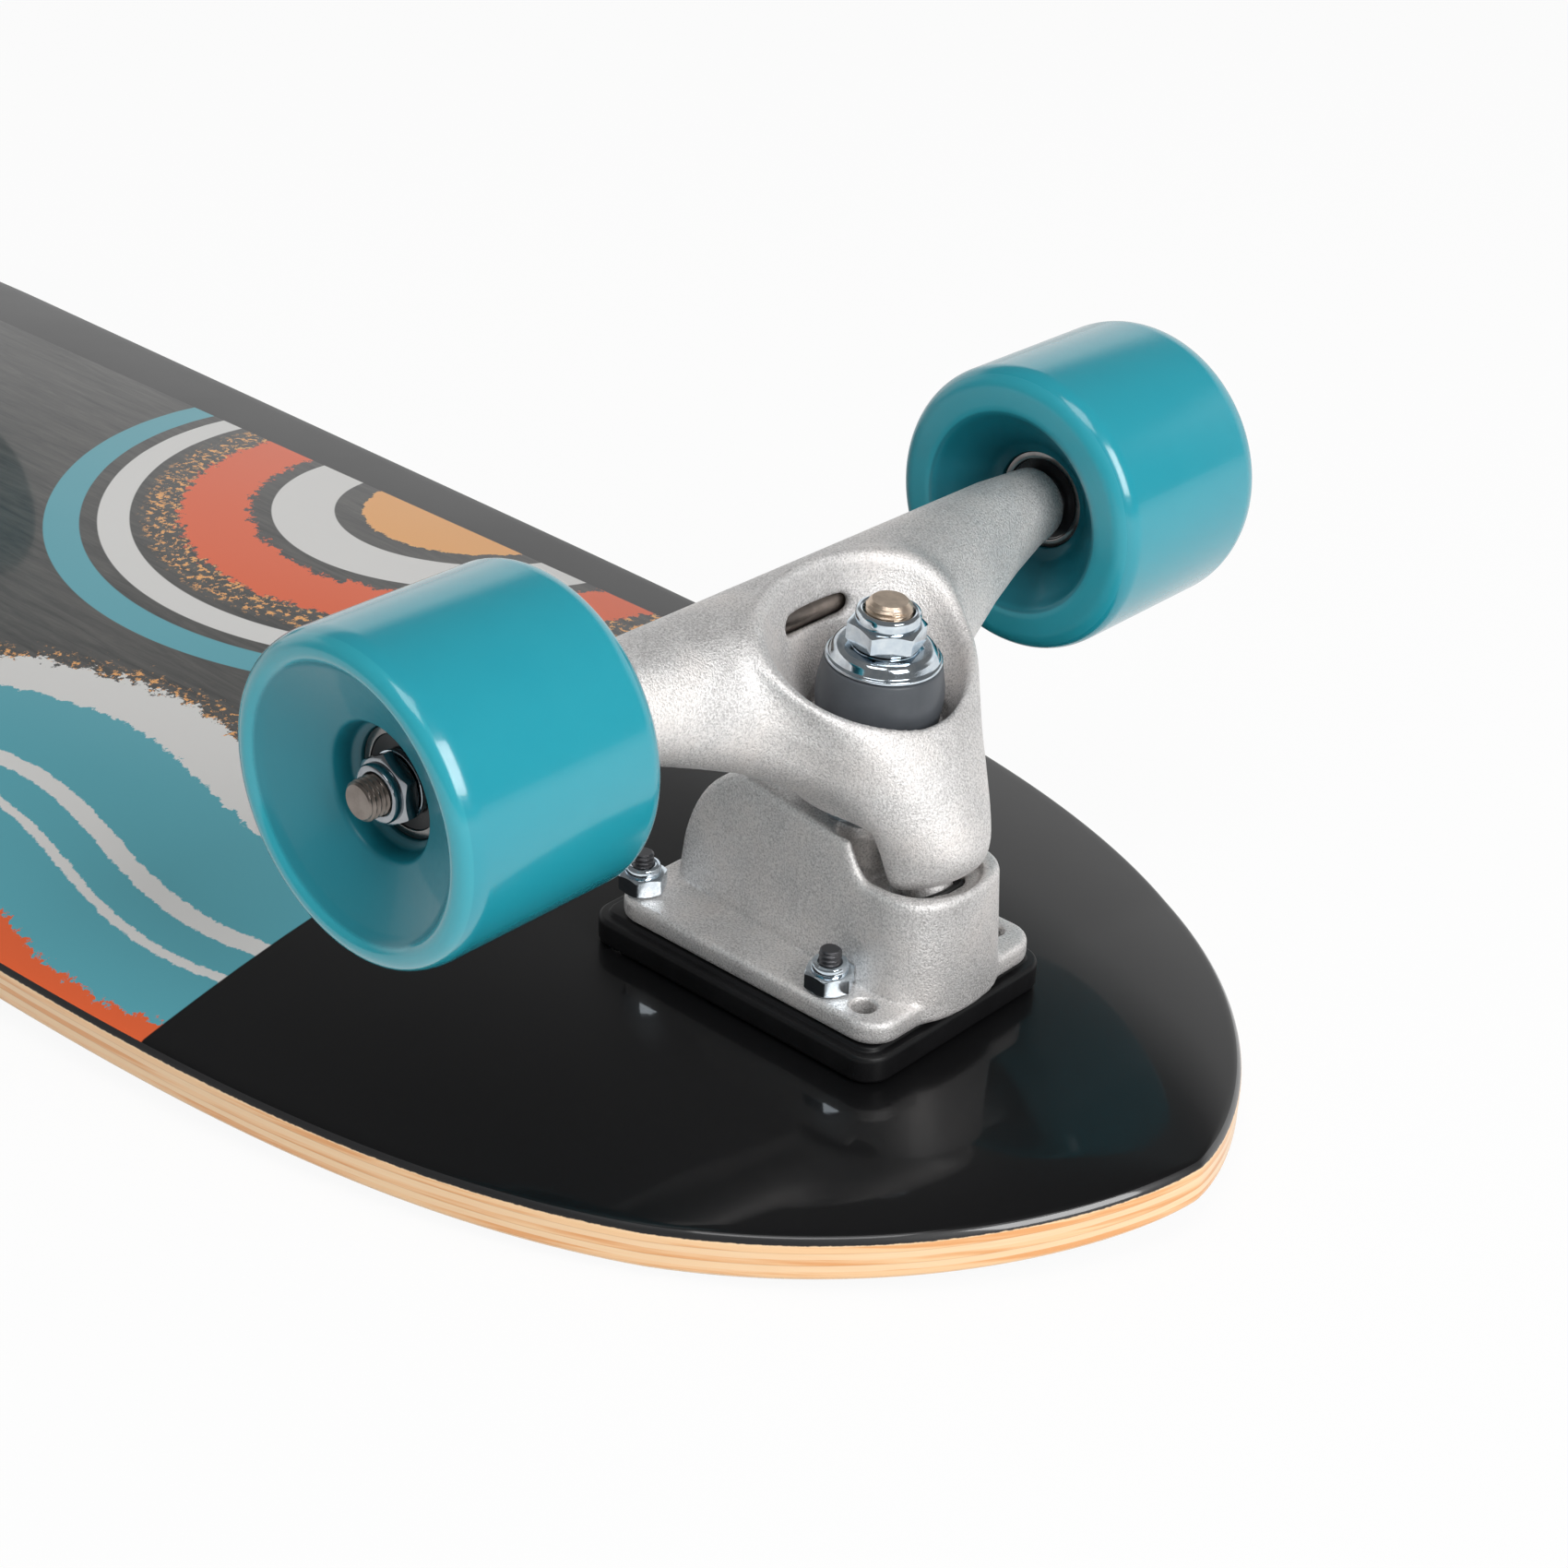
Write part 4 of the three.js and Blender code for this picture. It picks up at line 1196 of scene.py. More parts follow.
    @staticmethod
    def crossed_quads(metal: Array, number: Array, axis: int) -> Array:
        """Joins the four cells round each crossed edge along one axis.

        Args:
            metal: Whether each grid point is in the metal.
            number: Each cell's point, or -1.
            axis: The axis.

        Returns:
            One quad for each crossed edge, all facing the same side of the surface.
        """
        inside = np.moveaxis(metal, axis, 0)
        cell = np.moveaxis(number, axis, 0)
        start, stop = inside[:-1, 1:-1, 1:-1], inside[1:, 1:-1, 1:-1]
        i, j, k = np.nonzero(start != stop)
        loop = [cell[i, j, k], cell[i, j + 1, k], cell[i, j + 1, k + 1], cell[i, j, k + 1]]
        quads = np.stack(loop, axis=-1)
        flipped = start[i, j, k] if axis != 1 else ~start[i, j, k]
        quads[flipped] = quads[flipped][:, ::-1]
        return quads


@dataclass(frozen=True)
class Sections:
    """A run of ellipses whose planes tilt about Y, such as a casting's neck or bowl.

    Attributes:
        centres: Each ellipse's (x, z).
        tilts: Each plane's tilt in degrees, down towards +X.
        lengths: Each half length in the plane of X and Z.
        widths: Each half width along Y.
        eggs: How much narrower each one's +X end is than its middle, as a share.
        steps: How many ellipses are worked out between the first and the last.
    """

    centres: Sequence[Numbers]
    tilts: Numbers
    lengths: Numbers
    widths: Numbers
    eggs: Numbers
    steps: int = 160

    def table(self) -> Array:
        """Works out the ellipses in small steps.

        Between the given ones each number runs straight, and is then averaged over a window of
        an eighth of the run, which rounds the kinks and keeps both ends.

        Returns:
            Rows of x, z, tilt, length, width and egg.
        """
        given = np.column_stack([
            np.asarray(self.centres, float), np.radians(self.tilts), self.lengths, self.widths,
            self.eggs,
        ])
        stations = np.linspace(0.0, 1.0, len(given))
        fine = np.linspace(0.0, 1.0, self.steps)
        straight = np.stack([np.interp(fine, stations, column) for column in given.T], axis=-1)
        half = self.steps // 16
        start = 2 * straight[:1] - straight[half:0:-1]
        stop = 2 * straight[-1:] - straight[-2 : -half - 2 : -1]
        padded = np.concatenate([start, straight, stop])
        window = np.ones(2 * half + 1) / (2 * half + 1)
        return np.stack([np.convolve(column, window, "valid") for column in padded.T], axis=-1)

    def distance(self, grid: Field, foot_edge: float, top_edge: float) -> Array:
        """The distance to the solid that the ellipses sweep.

        For each (x, z) the swept plane that holds it is found, and there the distance is
        (hypot(u / length, y / w) - 1) times the smaller half, where u lies in the plane and w is
        width (1 - egg u / length).

        Args:
            grid: The field whose points are asked for.
            foot_edge: The rounding of the first ellipse's edge.
            top_edge: The rounding of the last one's.

        Returns:
            The distances.
        """
        table = self.table().astype(np.float32)
        x, z = np.broadcast_arrays(grid.x[:, 0, :], grid.z[0, :, :])
        flat_x, flat_z = x.reshape(-1, 1), z.reshape(-1, 1)
        cos, sin = np.cos(table[:, 2]), np.sin(table[:, 2])
        above = (flat_x - table[:, 0]) * sin + (flat_z - table[:, 1]) * cos
        index = np.clip(np.sum(above > 0, axis=1) - 1, 0, len(table) - 2)
        rows = np.arange(len(index))
        low, high = above[rows, index], above[rows, index + 1]
        share = np.clip(low / np.where(low == high, 1.0, low - high), 0.0, 1.0)[:, None]
        here = table[index] * (1 - share) + table[index + 1] * share
        dx, dz = flat_x[:, 0] - here[:, 0], flat_z[:, 0] - here[:, 1]
        u = dx * np.cos(here[:, 2]) - dz * np.sin(here[:, 2])
        u, length, width, egg = (
            part.reshape(x.shape)[:, None, :] for part in (u, here[:, 3], here[:, 4], here[:, 5])
        )
        narrowed = width * (1 - egg * np.clip(u / length, -1.0, 1.0))
        side = (np.hypot(u / length, grid.y / narrowed) - 1) * np.minimum(length, width)
        foot, top = (above[:, row].reshape(x.shape)[:, None, :] for row in (0, -1))
        capped = -Field.blend(-side, foot + 0 * side, foot_edge)
        return -Field.blend(-capped, -top + 0 * side, top_edge)


def polygon_distance(x: Array, z: Array, corners: Array) -> Array:
    """The signed distance to a polygon: to its nearest side, negative where it is wound round.

    Args:
        x: Coordinates.
        z: Coordinates.
        corners: The polygon.

    Returns:
        The distances.
    """
    nearest = np.full(np.broadcast(x, z).shape, 1e6, np.float32)
    inside = np.zeros(nearest.shape, bool)
    for (ax, az), (bx, bz) in zip(corners, np.roll(corners, -1, axis=0)):
        dx, dz = bx - ax, bz - az
        share = np.clip(((x - ax) * dx + (z - az) * dz) / (dx * dx + dz * dz), 0.0, 1.0)
        nearest = np.minimum(nearest, np.hypot(x - ax - share * dx, z - az - share * dz))
        spans = (az > z) != (bz > z)
        inside ^= spans & (x < ax + (z - az) * dx / (dz if dz else 1.0))
    return np.where(inside, -nearest, nearest)


def mesh_pitch(fine: float) -> float:
    """The field's pitch in millimetres, as given."""
    return fine


# The truck


@dataclass(frozen=True)
class TruckSizes:
    """The sizes that a truck's pieces share."""

    bolt_pitch_x: float = 53.98
    bolt_pitch_y: float = 41.3
    spare_pitch_x: float = 63.5
    flange_bottom: float = -5.2
    riser_top: float = -5.5
    riser_bottom: float = -12.8
    kingpin_x: float = 15.0
    kingpin_lean: float = 4.2
    kingpin_top: float = 78.9
    seat_height: float = 31.0
    washer_foot: float = 31.3
    board_bushing_foot: float = 33.1
    ring_foot: float = 42.5
    ring_top: float = 50.2
    road_bushing_foot: float = 50.5
    cup_washer_foot: float = 65.8
    nut_foot: float = 69.3
    pivot_x: float = 35.5
    pivot_height: float = 17.5
    pivot_radius: float = 5.0
    foot: Pair = (33.2, 21.4)
    foot_tilt: float = -15.0
    axle_x: float = -3.7
    axle_height: float = 68.35
    axle_radius: float = 4.0
    axle_half: float = 115.0

    def lean(self) -> float:
        """The kingpin's lean in radians."""
        return math.radians(self.kingpin_lean)

    def kingpin(self) -> Array:
        """The matrix of the kingpin's axis."""
        return moved(self.kingpin_x, 0, 0) @ turned("Y", self.lean())

    def kingpin_axis(self) -> Place:
        """The x and z where the kingpin's axis starts, and its lean."""
        return self.kingpin_x, 0.0, self.lean()

    def steer_axis(self) -> Place:
        """The x and z of the pivot, and the steer axis's lean."""
        return self.pivot_x, self.pivot_height, self.steer_lean()

    def kingpin_point(self, height: float) -> Array:
        """The kingpin's (x, z) at a height along it."""
        lean = self.lean()
        return np.array([self.kingpin_x + height * math.sin(lean), height * math.cos(lean)])

    def steer_lean(self) -> float:
        """The steer axis's lean: it runs from the pivot to the middle of the hanger's ring."""
        middle = self.kingpin_point((self.ring_foot + self.ring_top) / 2)
        return -math.atan2(self.pivot_x - middle[0], middle[1] - self.pivot_height)

    def pivot(self) -> Array:
        """The matrix of the steer axis, with its origin in the pivot."""
        return moved(self.pivot_x, 0, self.pivot_height) @ turned("Y", self.steer_lean())

    def axle_end(self, side: int) -> Array:
        """The matrix that takes heights outwards along the axle, on one side of it."""
        return moved(self.axle_x, 0, self.axle_height) @ turned("X", -side * math.pi / 2)

    def bolts(self) -> list[Pair]:
        """The places of the mounting bolts, in the order of their names."""
        x, y = self.bolt_pitch_x / 2, self.bolt_pitch_y / 2
        return [(x, -y), (x, y), (-x, -y), (-x, y)]

    def spares(self) -> list[Pair]:
        """The places of the two holes that no bolt uses."""
        x, y = self.spare_pitch_x - self.bolt_pitch_x / 2, self.bolt_pitch_y / 2
        return [(x, -y), (x, y)]


SIZES = TruckSizes()


@dataclass
class Baseplate:
    """The cast baseplate: a flange, the kingpin's tower and the pivot's housing."""

    pitch: float = 0.55
    length: float = 76.0
    width: float = 53.0
    corner: float = 7.0
    offset: float = 7.0
    edge: float = 0.8
    back: float = -26.0
    back_height: float = 11.5
    back_lean: float = 1.6
    shoulder: Pair = (-20.0, 29.0)
    crest_x: float = -6.0
    front_x: float = 24.4
    tower_half: float = 10.2
    draft: float = 1.6
    notch_run: float = 2.6
    housing_end: float = 46.2
    housing_half: float = 14.8
    housing_corner: float = 10.0
    rim_x: float = 30.5
    rim_height: float = 23.0
    pocket_depth: float = 2.4
    pocket_wall: float = 2.6
    pocket_half: float = 12.1
    pocket_back: float = 18.0
    seat_radius: float = 9.5
    seat_depth: float = 3.5
    boss_radius: float = 6.8
    cup_radius: float = 7.5
    cup_depth: float = 7.1
    bore: float = 5.06
    head_room: float = 8.86
    head_ceiling: float = 1.7
    bolt_hole: float = 2.7
    tower_blend: float = 2.0
    pocket_corner: float = 3.0
    pocket_round: float = 1.2
    seat_fillet: float = 0.8
    bore_round: float = 0.3
    hole_round: float = 0.6

    def seat_line(self, x: float) -> float:
        """The height of the tower's seat at x, square to the kingpin."""
        middle = SIZES.kingpin_point(SIZES.seat_height)
        return float(middle[1] - (x - middle[0]) * math.tan(SIZES.lean()))

    @staticmethod
    def arc(start: Numbers, bend: Numbers, stop: Numbers,
            steps: int = 12) -> Array:
        """Draws a quadratic curve: (1 - t)^2 start + 2 t (1 - t) bend + t^2 stop.

        Args:
            start: Its first point.
            bend: The point that it leans towards.
            stop: Its last point.
            steps: How many points it has.

        Returns:
            The points.
        """
        t = np.linspace(0.0, 1.0, steps)[:, None]
        start, bend, stop = np.array(start), np.array(bend), np.array(stop)
        return (1 - t) ** 2 * start + 2 * t * (1 - t) * bend + t**2 * stop

    def side_outline(self) -> Array:
        """Draws the tower and housing seen from the side.

        Returns:
            The outline's (x, z).
        """
        bottom = SIZES.flange_bottom
        leaning = (self.back + self.back_lean, self.back_height)
        crest = (self.crest_x, self.seat_line(self.crest_x))
        notch = (self.front_x + self.notch_run, self.rim_height)
        front = (self.front_x, self.seat_line(self.front_x))
        end = self.housing_end + self.draft
        return np.concatenate([
            [(self.back, bottom), (self.back, 0.0)],
            self.arc(leaning, self.shoulder, crest),
            self.arc(front, notch, (self.rim_x, self.rim_height)),
            [(end, self.rim_height), (end, bottom)],
        ])

    def plan_outline(self) -> Array:
        """Draws the tower and housing seen from above.

        Returns:
            The outline's (x, y).
        """
        half, end, run = self.housing_half, self.housing_end, self.housing_corner
        near = self.arc((end - run, -half), (end, -half), (end, 0.0))
        return np.concatenate([
            [(self.back, -self.tower_half)], near, (near[:-1] * [1, -1])[::-1],
            [(self.back, self.tower_half)],
        ])

    def tower(self, grid: Field) -> Array:
        """The side outline where it meets the plan outline, which widens towards the flange.

        Args:
            grid: The casting's field.

        Returns:
            The distances.
        """
        side = polygon_distance(grid.x, grid.z, self.side_outline())
        plan = polygon_distance(grid.x, grid.y, self.plan_outline())
        spread = self.draft * np.clip(1.0 - grid.z / SIZES.seat_height, 0.0, 1.3)
        return -Field.blend(-side, -(plan - spread), self.tower_blend)

    def flange(self, grid: Field) -> Array:
        """A plate with round corners, seen from above, and a round upper edge.

        Args:
            grid: The casting's field.

        Returns:
            The distances.
        """
        dx = np.abs(grid.x - self.offset) - (self.length / 2 - self.corner)
        dy = np.abs(grid.y) - (self.width / 2 - self.corner)
        plan = np.hypot(np.maximum(dx, 0), np.maximum(dy, 0)) + np.minimum(np.maximum(dx, dy), 0)
        plan = plan - self.corner
        middle = SIZES.flange_bottom / 2
        level = np.abs(grid.z - middle) + middle
        return -Field.blend(-(plan + 0 * grid.z), -level + 0 * plan, self.edge * 2)

    def pocket(self, grid: Field) -> Array:
        """The room in which the hanger's foot swings: a tilted bowl and a box behind it.

        Args:
            grid: The casting's field.

        Returns:
            The distances.
        """
        x, z = SIZES.foot
        bowl = grid.bar((x, z, math.radians(SIZES.foot_tilt)), self.housing_half - self.pocket_wall,
                        -self.pocket_depth, 40.0, 1.5)
        low = (self.pocket_back, -self.pocket_half, z - self.pocket_depth)
        box = grid.box(low, (x, self.pocket_half, 60.0), self.pocket_corner)
        return Field.blend(bowl, box, 1.0)

    def shape(self) -> Shape:
        """Joins and cuts the forms in the order in which a pattern maker would.

        Returns:
            The baseplate in the truck's frame.
        """
        bottom, seat = SIZES.flange_bottom, SIZES.seat_height
        half = self.width / 2 + 2
        low = (self.offset - self.length / 2 - 2, -half, bottom - 2)
        high = (self.housing_end + self.draft + 2, half, seat + 5)
        grid = Field(low, high, mesh_pitch(self.pitch))
        grid.add(self.tower(grid), 0.1)
        grid.cut(self.pocket(grid), self.pocket_round)
        grid.add(self.flange(grid), 0.5)
        kingpin = SIZES.kingpin_axis()
        for radius, foot in ((self.boss_radius, 0), (self.seat_radius, seat - self.seat_depth)):
            grid.add(grid.bar(kingpin, radius, foot, seat, 0.4), self.seat_fillet)
        grid.cut(grid.bar(SIZES.steer_axis(), self.cup_radius, -self.cup_depth, 12.0), 0.4)
        grid.cut(grid.bar(kingpin, self.bore, -20, 60), self.bore_round)
        grid.cut(grid.bar(kingpin, self.head_room, -20, self.head_ceiling), self.bore_round)
        for x, y in SIZES.bolts() + SIZES.spares():
            grid.cut(grid.upright(x, y, self.bolt_hole), self.hole_round)
        return grid.shape()


@dataclass
class Hanger:
    """The cast hanger: arms round the axle, a bowl round the kingpin, and a neck to the pivot."""

    pitch: float = 0.6
    arm_radius: float = 9.0
    arm_end_radius: float = 8.0
    arm_end: float = 78.9
    arm_reach: float = 38.5
    low_radius: float = 8.5
    slope: float = 50.0
    arm_stations: tuple[float, ...] = (0, 0.18, 0.28, 0.38, 0.5, 0.63, 0.76, 0.9, 0.97, 1)
    arm_reaches: tuple[float, ...] = (1, 0.97, 0.83, 0.68, 0.56, 0.44, 0.34, 0.25, 0.22, 0.2)
    arm_swells: tuple[float, ...] = (6, 6, 5.4, 3.9, 2.4, 1.2, 0.5, 0.1, 0, 0)
    ring_radius: float = 17.0
    ring_skirt: float = 9.4
    ring_bore: float = 7.0
    board_well: float = 13.5
    road_well: float = 14.5
    road_well_depth: float = 3.5
    rim: Pair = (16.5, 68.2)
    rim_tilt: float = 31.5
    rim_half_length: float = 21.8
    rim_half_width: float = 27.4
    rim_egg: float = 0.1
    rim_wall: float = 2.5
    foot_radius: float = 10.2
    neck_x: tuple[float, ...] = (0, -0.07, -0.01, 0.23, 0.45, 0.65, 1)
    neck_height: tuple[float, ...] = (0, 0.085, 0.2, 0.33, 0.48, 0.69, 1)
    neck_tilt: tuple[float, ...] = (0, 0.13, 0.28, 0.38, 0.51, 0.77, 1)
    neck_length: tuple[float, ...] = (0, 0.15, 0.27, 0.49, 0.63, 0.8, 1)
    neck_width: tuple[float, ...] = (0, 0.1, 0.18, 0.34, 0.49, 0.6, 1)
    neck_back: float = 28.8
    back_slant: float = 0.25
    fillet_depth: Pair = (0.0, 8.0)
    fillet_reach: Pair = (4.8, 10.0)
    steer_range: float = 20.0
    clear_half: float = 16.0
    pin_length: float = 7.6
    well_foot: float = 30.7
    grid_top: float = 86.0
    axle_bore: float = 4.3
    slot_length: float = 19.0
    slot_height: float = 4.4
    slot_depth: float = 8.0
    arm_end_round: float = 1.4
    skirt_fillet: float = 3.0
    room_round: float = 3.2
    well_round: float = 0.6
    bowl_round: float = 2.2

    def arms(self, grid: Field) -> Array:
        """The arms: at each y two circles, round the axle and down the slope, and their hull.

        The lower circle's reach and both radii depend on the distance from the middle. A point's
        distance is that to the line between the circles' middles less the radius there. The outer
        side is swollen to an arc that leaves both circles smoothly: it runs parallel to an arc
        through their middles, whose radius is (run^2 / 4 + s^2) / 2 s for a swell of s.

        Args:
            grid: The hanger's field.

        Returns:
            The distances.
        """
        out = np.abs(grid.y)
        share = out / self.arm_end
        reach = np.interp(share, self.arm_stations, self.arm_reaches) * self.arm_reach
        taper = np.clip((share - 0.8) / 0.2, 0.0, 1.0)
        radius = self.arm_radius + (self.arm_end_radius - self.arm_radius) * taper
        reach = np.maximum(reach, radius)
        low = np.minimum(self.low_radius, radius)
        run = np.maximum(reach - low, 0.05)
        dx, dz = grid.x - SIZES.axle_x, grid.z - SIZES.axle_height
        along, across = rotated(dx, dz, math.radians(self.slope))
        t = np.clip(along / run, 0.0, 1.0)
        thick = radius + (low - radius) * t
        straight = np.hypot(along - t * run, across)
        swell = np.interp(share, self.arm_stations, self.arm_swells) * np.minimum(run / 8.0, 1.0)
        swell = np.maximum(swell, 0.01)
        arc = (run**2 / 4 + swell**2) / (2 * swell)
        beside, over = along - run / 2, across + arc - swell
        within = (across > 0) & (np.abs(beside) * (arc - swell) < over * run / 2)
        bent = np.where(within, np.hypot(beside, over) - arc, 1e3)
        side = np.minimum(straight, bent) - thick
        return -Field.blend(-side, self.arm_end - out + 0 * side, self.arm_end_round)

    def neck(self) -> Sections:
        """The neck: ellipses from the foot over the pivot up to the bowl's rim.

        Returns:
            The ellipses.
        """

        def between(shares: Numbers, start: float, stop: float) -> Array:
            """Values from start to stop by shares."""
            return start + np.array(shares) * (stop - start)

        centres = np.column_stack([
            between(self.neck_x, SIZES.foot[0], self.rim[0]),
            between(self.neck_height, SIZES.foot[1], self.rim[1]),
        ])
        return Sections(
            centres,
            between(self.neck_tilt, SIZES.foot_tilt, self.rim_tilt),
            between(self.neck_length, self.foot_radius, self.rim_half_length),
            between(self.neck_width, self.foot_radius, self.rim_half_width),
            between(self.neck_width, 0.0, self.rim_egg),
        )

    def bowl(self) -> Sections:
        """The bowl's room: from a circle round the kingpin through the rim and past it.

        Returns:
            The ellipses.
        """
        seat = SIZES.kingpin_point(SIZES.ring_top + self.road_well_depth)
        tilt = math.radians(self.rim_tilt)
        out = np.array([math.sin(tilt), math.cos(tilt)])
        length, width = self.rim_half_length - self.rim_wall, self.rim_half_width - self.rim_wall
        rim = np.array(self.rim)
        middle = seat * 0.45 + rim * 0.55
        return Sections(
            [seat, middle, rim, rim + 9 * out, rim + 18 * out],
            [SIZES.kingpin_lean, 0.55 * self.rim_tilt, self.rim_tilt, self.rim_tilt, self.rim_tilt],
            [self.road_well, self.road_well * 0.4 + length * 0.6, length, length + 4, length + 8],
            [self.road_well, self.road_well * 0.4 + width * 0.6, width, width + 4, width + 8],
            [0.0, self.rim_egg / 2, self.rim_egg, self.rim_egg, self.rim_egg],
        )

    def clearance(self, grid: Field, angle: float) -> Array:
        """The room that the tower needs behind the neck when the hanger is steered by an angle.

        Each point is turned back about the steer axis, and there the room is all that lies
        behind the neck's slanted back, between the tower's sides, and under the ring's skirt.

        Args:
            grid: The hanger's field.
            angle: The steer angle in degrees.

        Returns:
            The distances.
        """
        lean = SIZES.steer_lean()
        across, along = rotated(grid.x - SIZES.pivot_x, grid.z - SIZES.pivot_height, lean)
        turned_across, y = rotated(across, grid.y, math.radians(-angle))
        x, z = rotated(turned_across, along, -lean)
        x, z = x + SIZES.pivot_x, z + SIZES.pivot_height
        height = z * math.cos(SIZES.lean()) + (x - SIZES.kingpin_x) * math.sin(SIZES.lean())
        under = height - (SIZES.ring_foot - self.ring_skirt)
        behind = x - self.neck_back + self.back_slant * (z - SIZES.foot[1])
        return np.maximum(np.maximum(behind, under), np.abs(y) - self.clear_half)

    def slot(self, grid: Field) -> Array:
        """A round ended slot in the bowl's back wall, over the axle.

        Args:
            grid: The hanger's field.

        Returns:
            The distances.
        """
        dy = np.maximum(np.abs(grid.y) - (self.slot_length - self.slot_height) / 2, 0)
        level = grid.z - SIZES.axle_height
        side = np.hypot(dy, level) - self.slot_height / 2
        start = SIZES.axle_x + SIZES.axle_radius
        depth = np.abs(grid.x - start - self.slot_depth / 2) - self.slot_depth / 2
        return np.maximum(side, depth)

    def shape(self) -> Shape:
        """Joins and cuts the forms in the order in which a pattern maker would.

        Returns:
            The hanger in the truck's frame.
        """
        half = self.arm_end + 2
        foot = SIZES.pivot_height - SIZES.pivot_radius - 2
        grid = Field((SIZES.axle_x - self.arm_radius - 5, -half, foot),
                     (SIZES.foot[0] + self.foot_radius + 5, half, self.grid_top), mesh_pitch(self.pitch))
        kingpin = SIZES.kingpin_axis()
        skirt_foot = SIZES.ring_foot - self.ring_skirt
        well_top = SIZES.ring_top + self.road_well_depth
        grid.add(self.arms(grid), 0.1)
        tilt = math.radians(self.rim_tilt)
        depth = (self.rim[0] - grid.x) * math.sin(tilt) + (self.rim[1] - grid.z) * math.cos(tilt)
        reach = np.interp(depth, self.fillet_depth, self.fillet_reach)
        grid.add(self.neck().distance(grid, 1.0, 1.6), reach)
        grid.add(grid.bar(kingpin, self.ring_radius, skirt_foot, well_top, 1.0), self.skirt_fillet)
        rooms = [self.clearance(grid, share * self.steer_range) for share in (-1, 0, 1)]
        grid.cut(np.minimum(np.minimum(rooms[0], rooms[1]), rooms[2]), self.room_round)
        well = grid.bar(kingpin, self.board_well, self.well_foot, SIZES.ring_foot, self.well_round)
        grid.cut(well, self.well_round)
        ball = SIZES.pivot_radius
        pin = grid.bar(SIZES.steer_axis(), ball, -ball, self.pin_length, ball - 0.05)
        grid.add(pin, 0.8)
        grid.cut(self.bowl().distance(grid, 1.2, 0.5), self.bowl_round)
        well = grid.bar(kingpin, self.road_well, SIZES.ring_top, well_top + GAP, self.well_round)
        grid.cut(well, 1.0)
        grid.cut(grid.bar(kingpin, self.ring_bore, 0, SIZES.kingpin_top + 0.1), 0.5)
        axle = np.hypot(grid.x - SIZES.axle_x, grid.z - SIZES.axle_height) - self.axle_bore
        grid.cut(axle + 0 * grid.y, 0.5)
        grid.cut(self.slot(grid), 1.0)
        return grid.shape()


@dataclass
class Kingpin:
    """The kingpin: a hexagon head in the baseplate, a shank, and its threaded end."""

    head_flats: float = 14.3
    head_foot: float = -4.6
    head_top: float = 1.4
    thread: Thread = Thread(4.76, 1.06, 0.55, 1.1)
    thread_foot: float = 60.0

    def shape(self) -> Shape:
        """Rows of a hexagon for the head, then of circles and of the thread.

        Returns:
            The kingpin round +Z.
        """
        angles = whole_turn(60)
        head = hexagon(self.head_flats, angles)
        radius, height = self.thread.rows(self.thread_foot, SIZES.kingpin_top, angles[None, :])
        rows = [
            (0.0, self.head_foot), (head - 0.4, self.head_foot), (head, self.head_foot + 0.4),
            (head, self.head_top - 0.4), (head - 0.4, self.head_top),
            (self.thread.radius + 0.2, self.head_top), (self.thread.radius, self.head_top + 0.2),
            (self.thread.radius, self.thread_foot - 0.2),
            *zip(radius, height), (radius[-1] * 0.7, height[-1]), (0.0, SIZES.kingpin_top),
        ]
        return polar(rows, angles)


@dataclass
class MountingBolt:
    """A countersunk bolt with a hexagon socket, through grip, deck, riser and flange."""

    head_face: float = -24.1
    head_radius: float = 4.7
    head_height: float = 2.6
    socket_flats: float = 3.2
    socket_depth: float = 1.5
    thread: Thread = Thread(2.4, 1.0, 0.62, 0.5)
    top: float = 9.3

    def shape(self) -> Shape:
        """Rows from the socket's floor round the head and up the thread.

        Returns:
            The bolt round +Z.
        """
        angles = whole_turn(48)
        socket = hexagon(self.socket_flats, angles)
        radius, height = self.thread.rows(-1.0, self.top, angles[None, :], 0.8)
        face, shank = self.head_face, self.thread.radius
        rows = [
            (0.0, face + self.socket_depth), (socket, face + self.socket_depth), (socket, face),
            (self.head_radius - 0.25, face), (self.head_radius, face + 0.2),
            (shank, face + self.head_height), (shank, -1.2), *zip(radius, height),
            (radius[-1] * 0.7, self.top), (0.0, self.top),
        ]
        return polar(rows, angles)


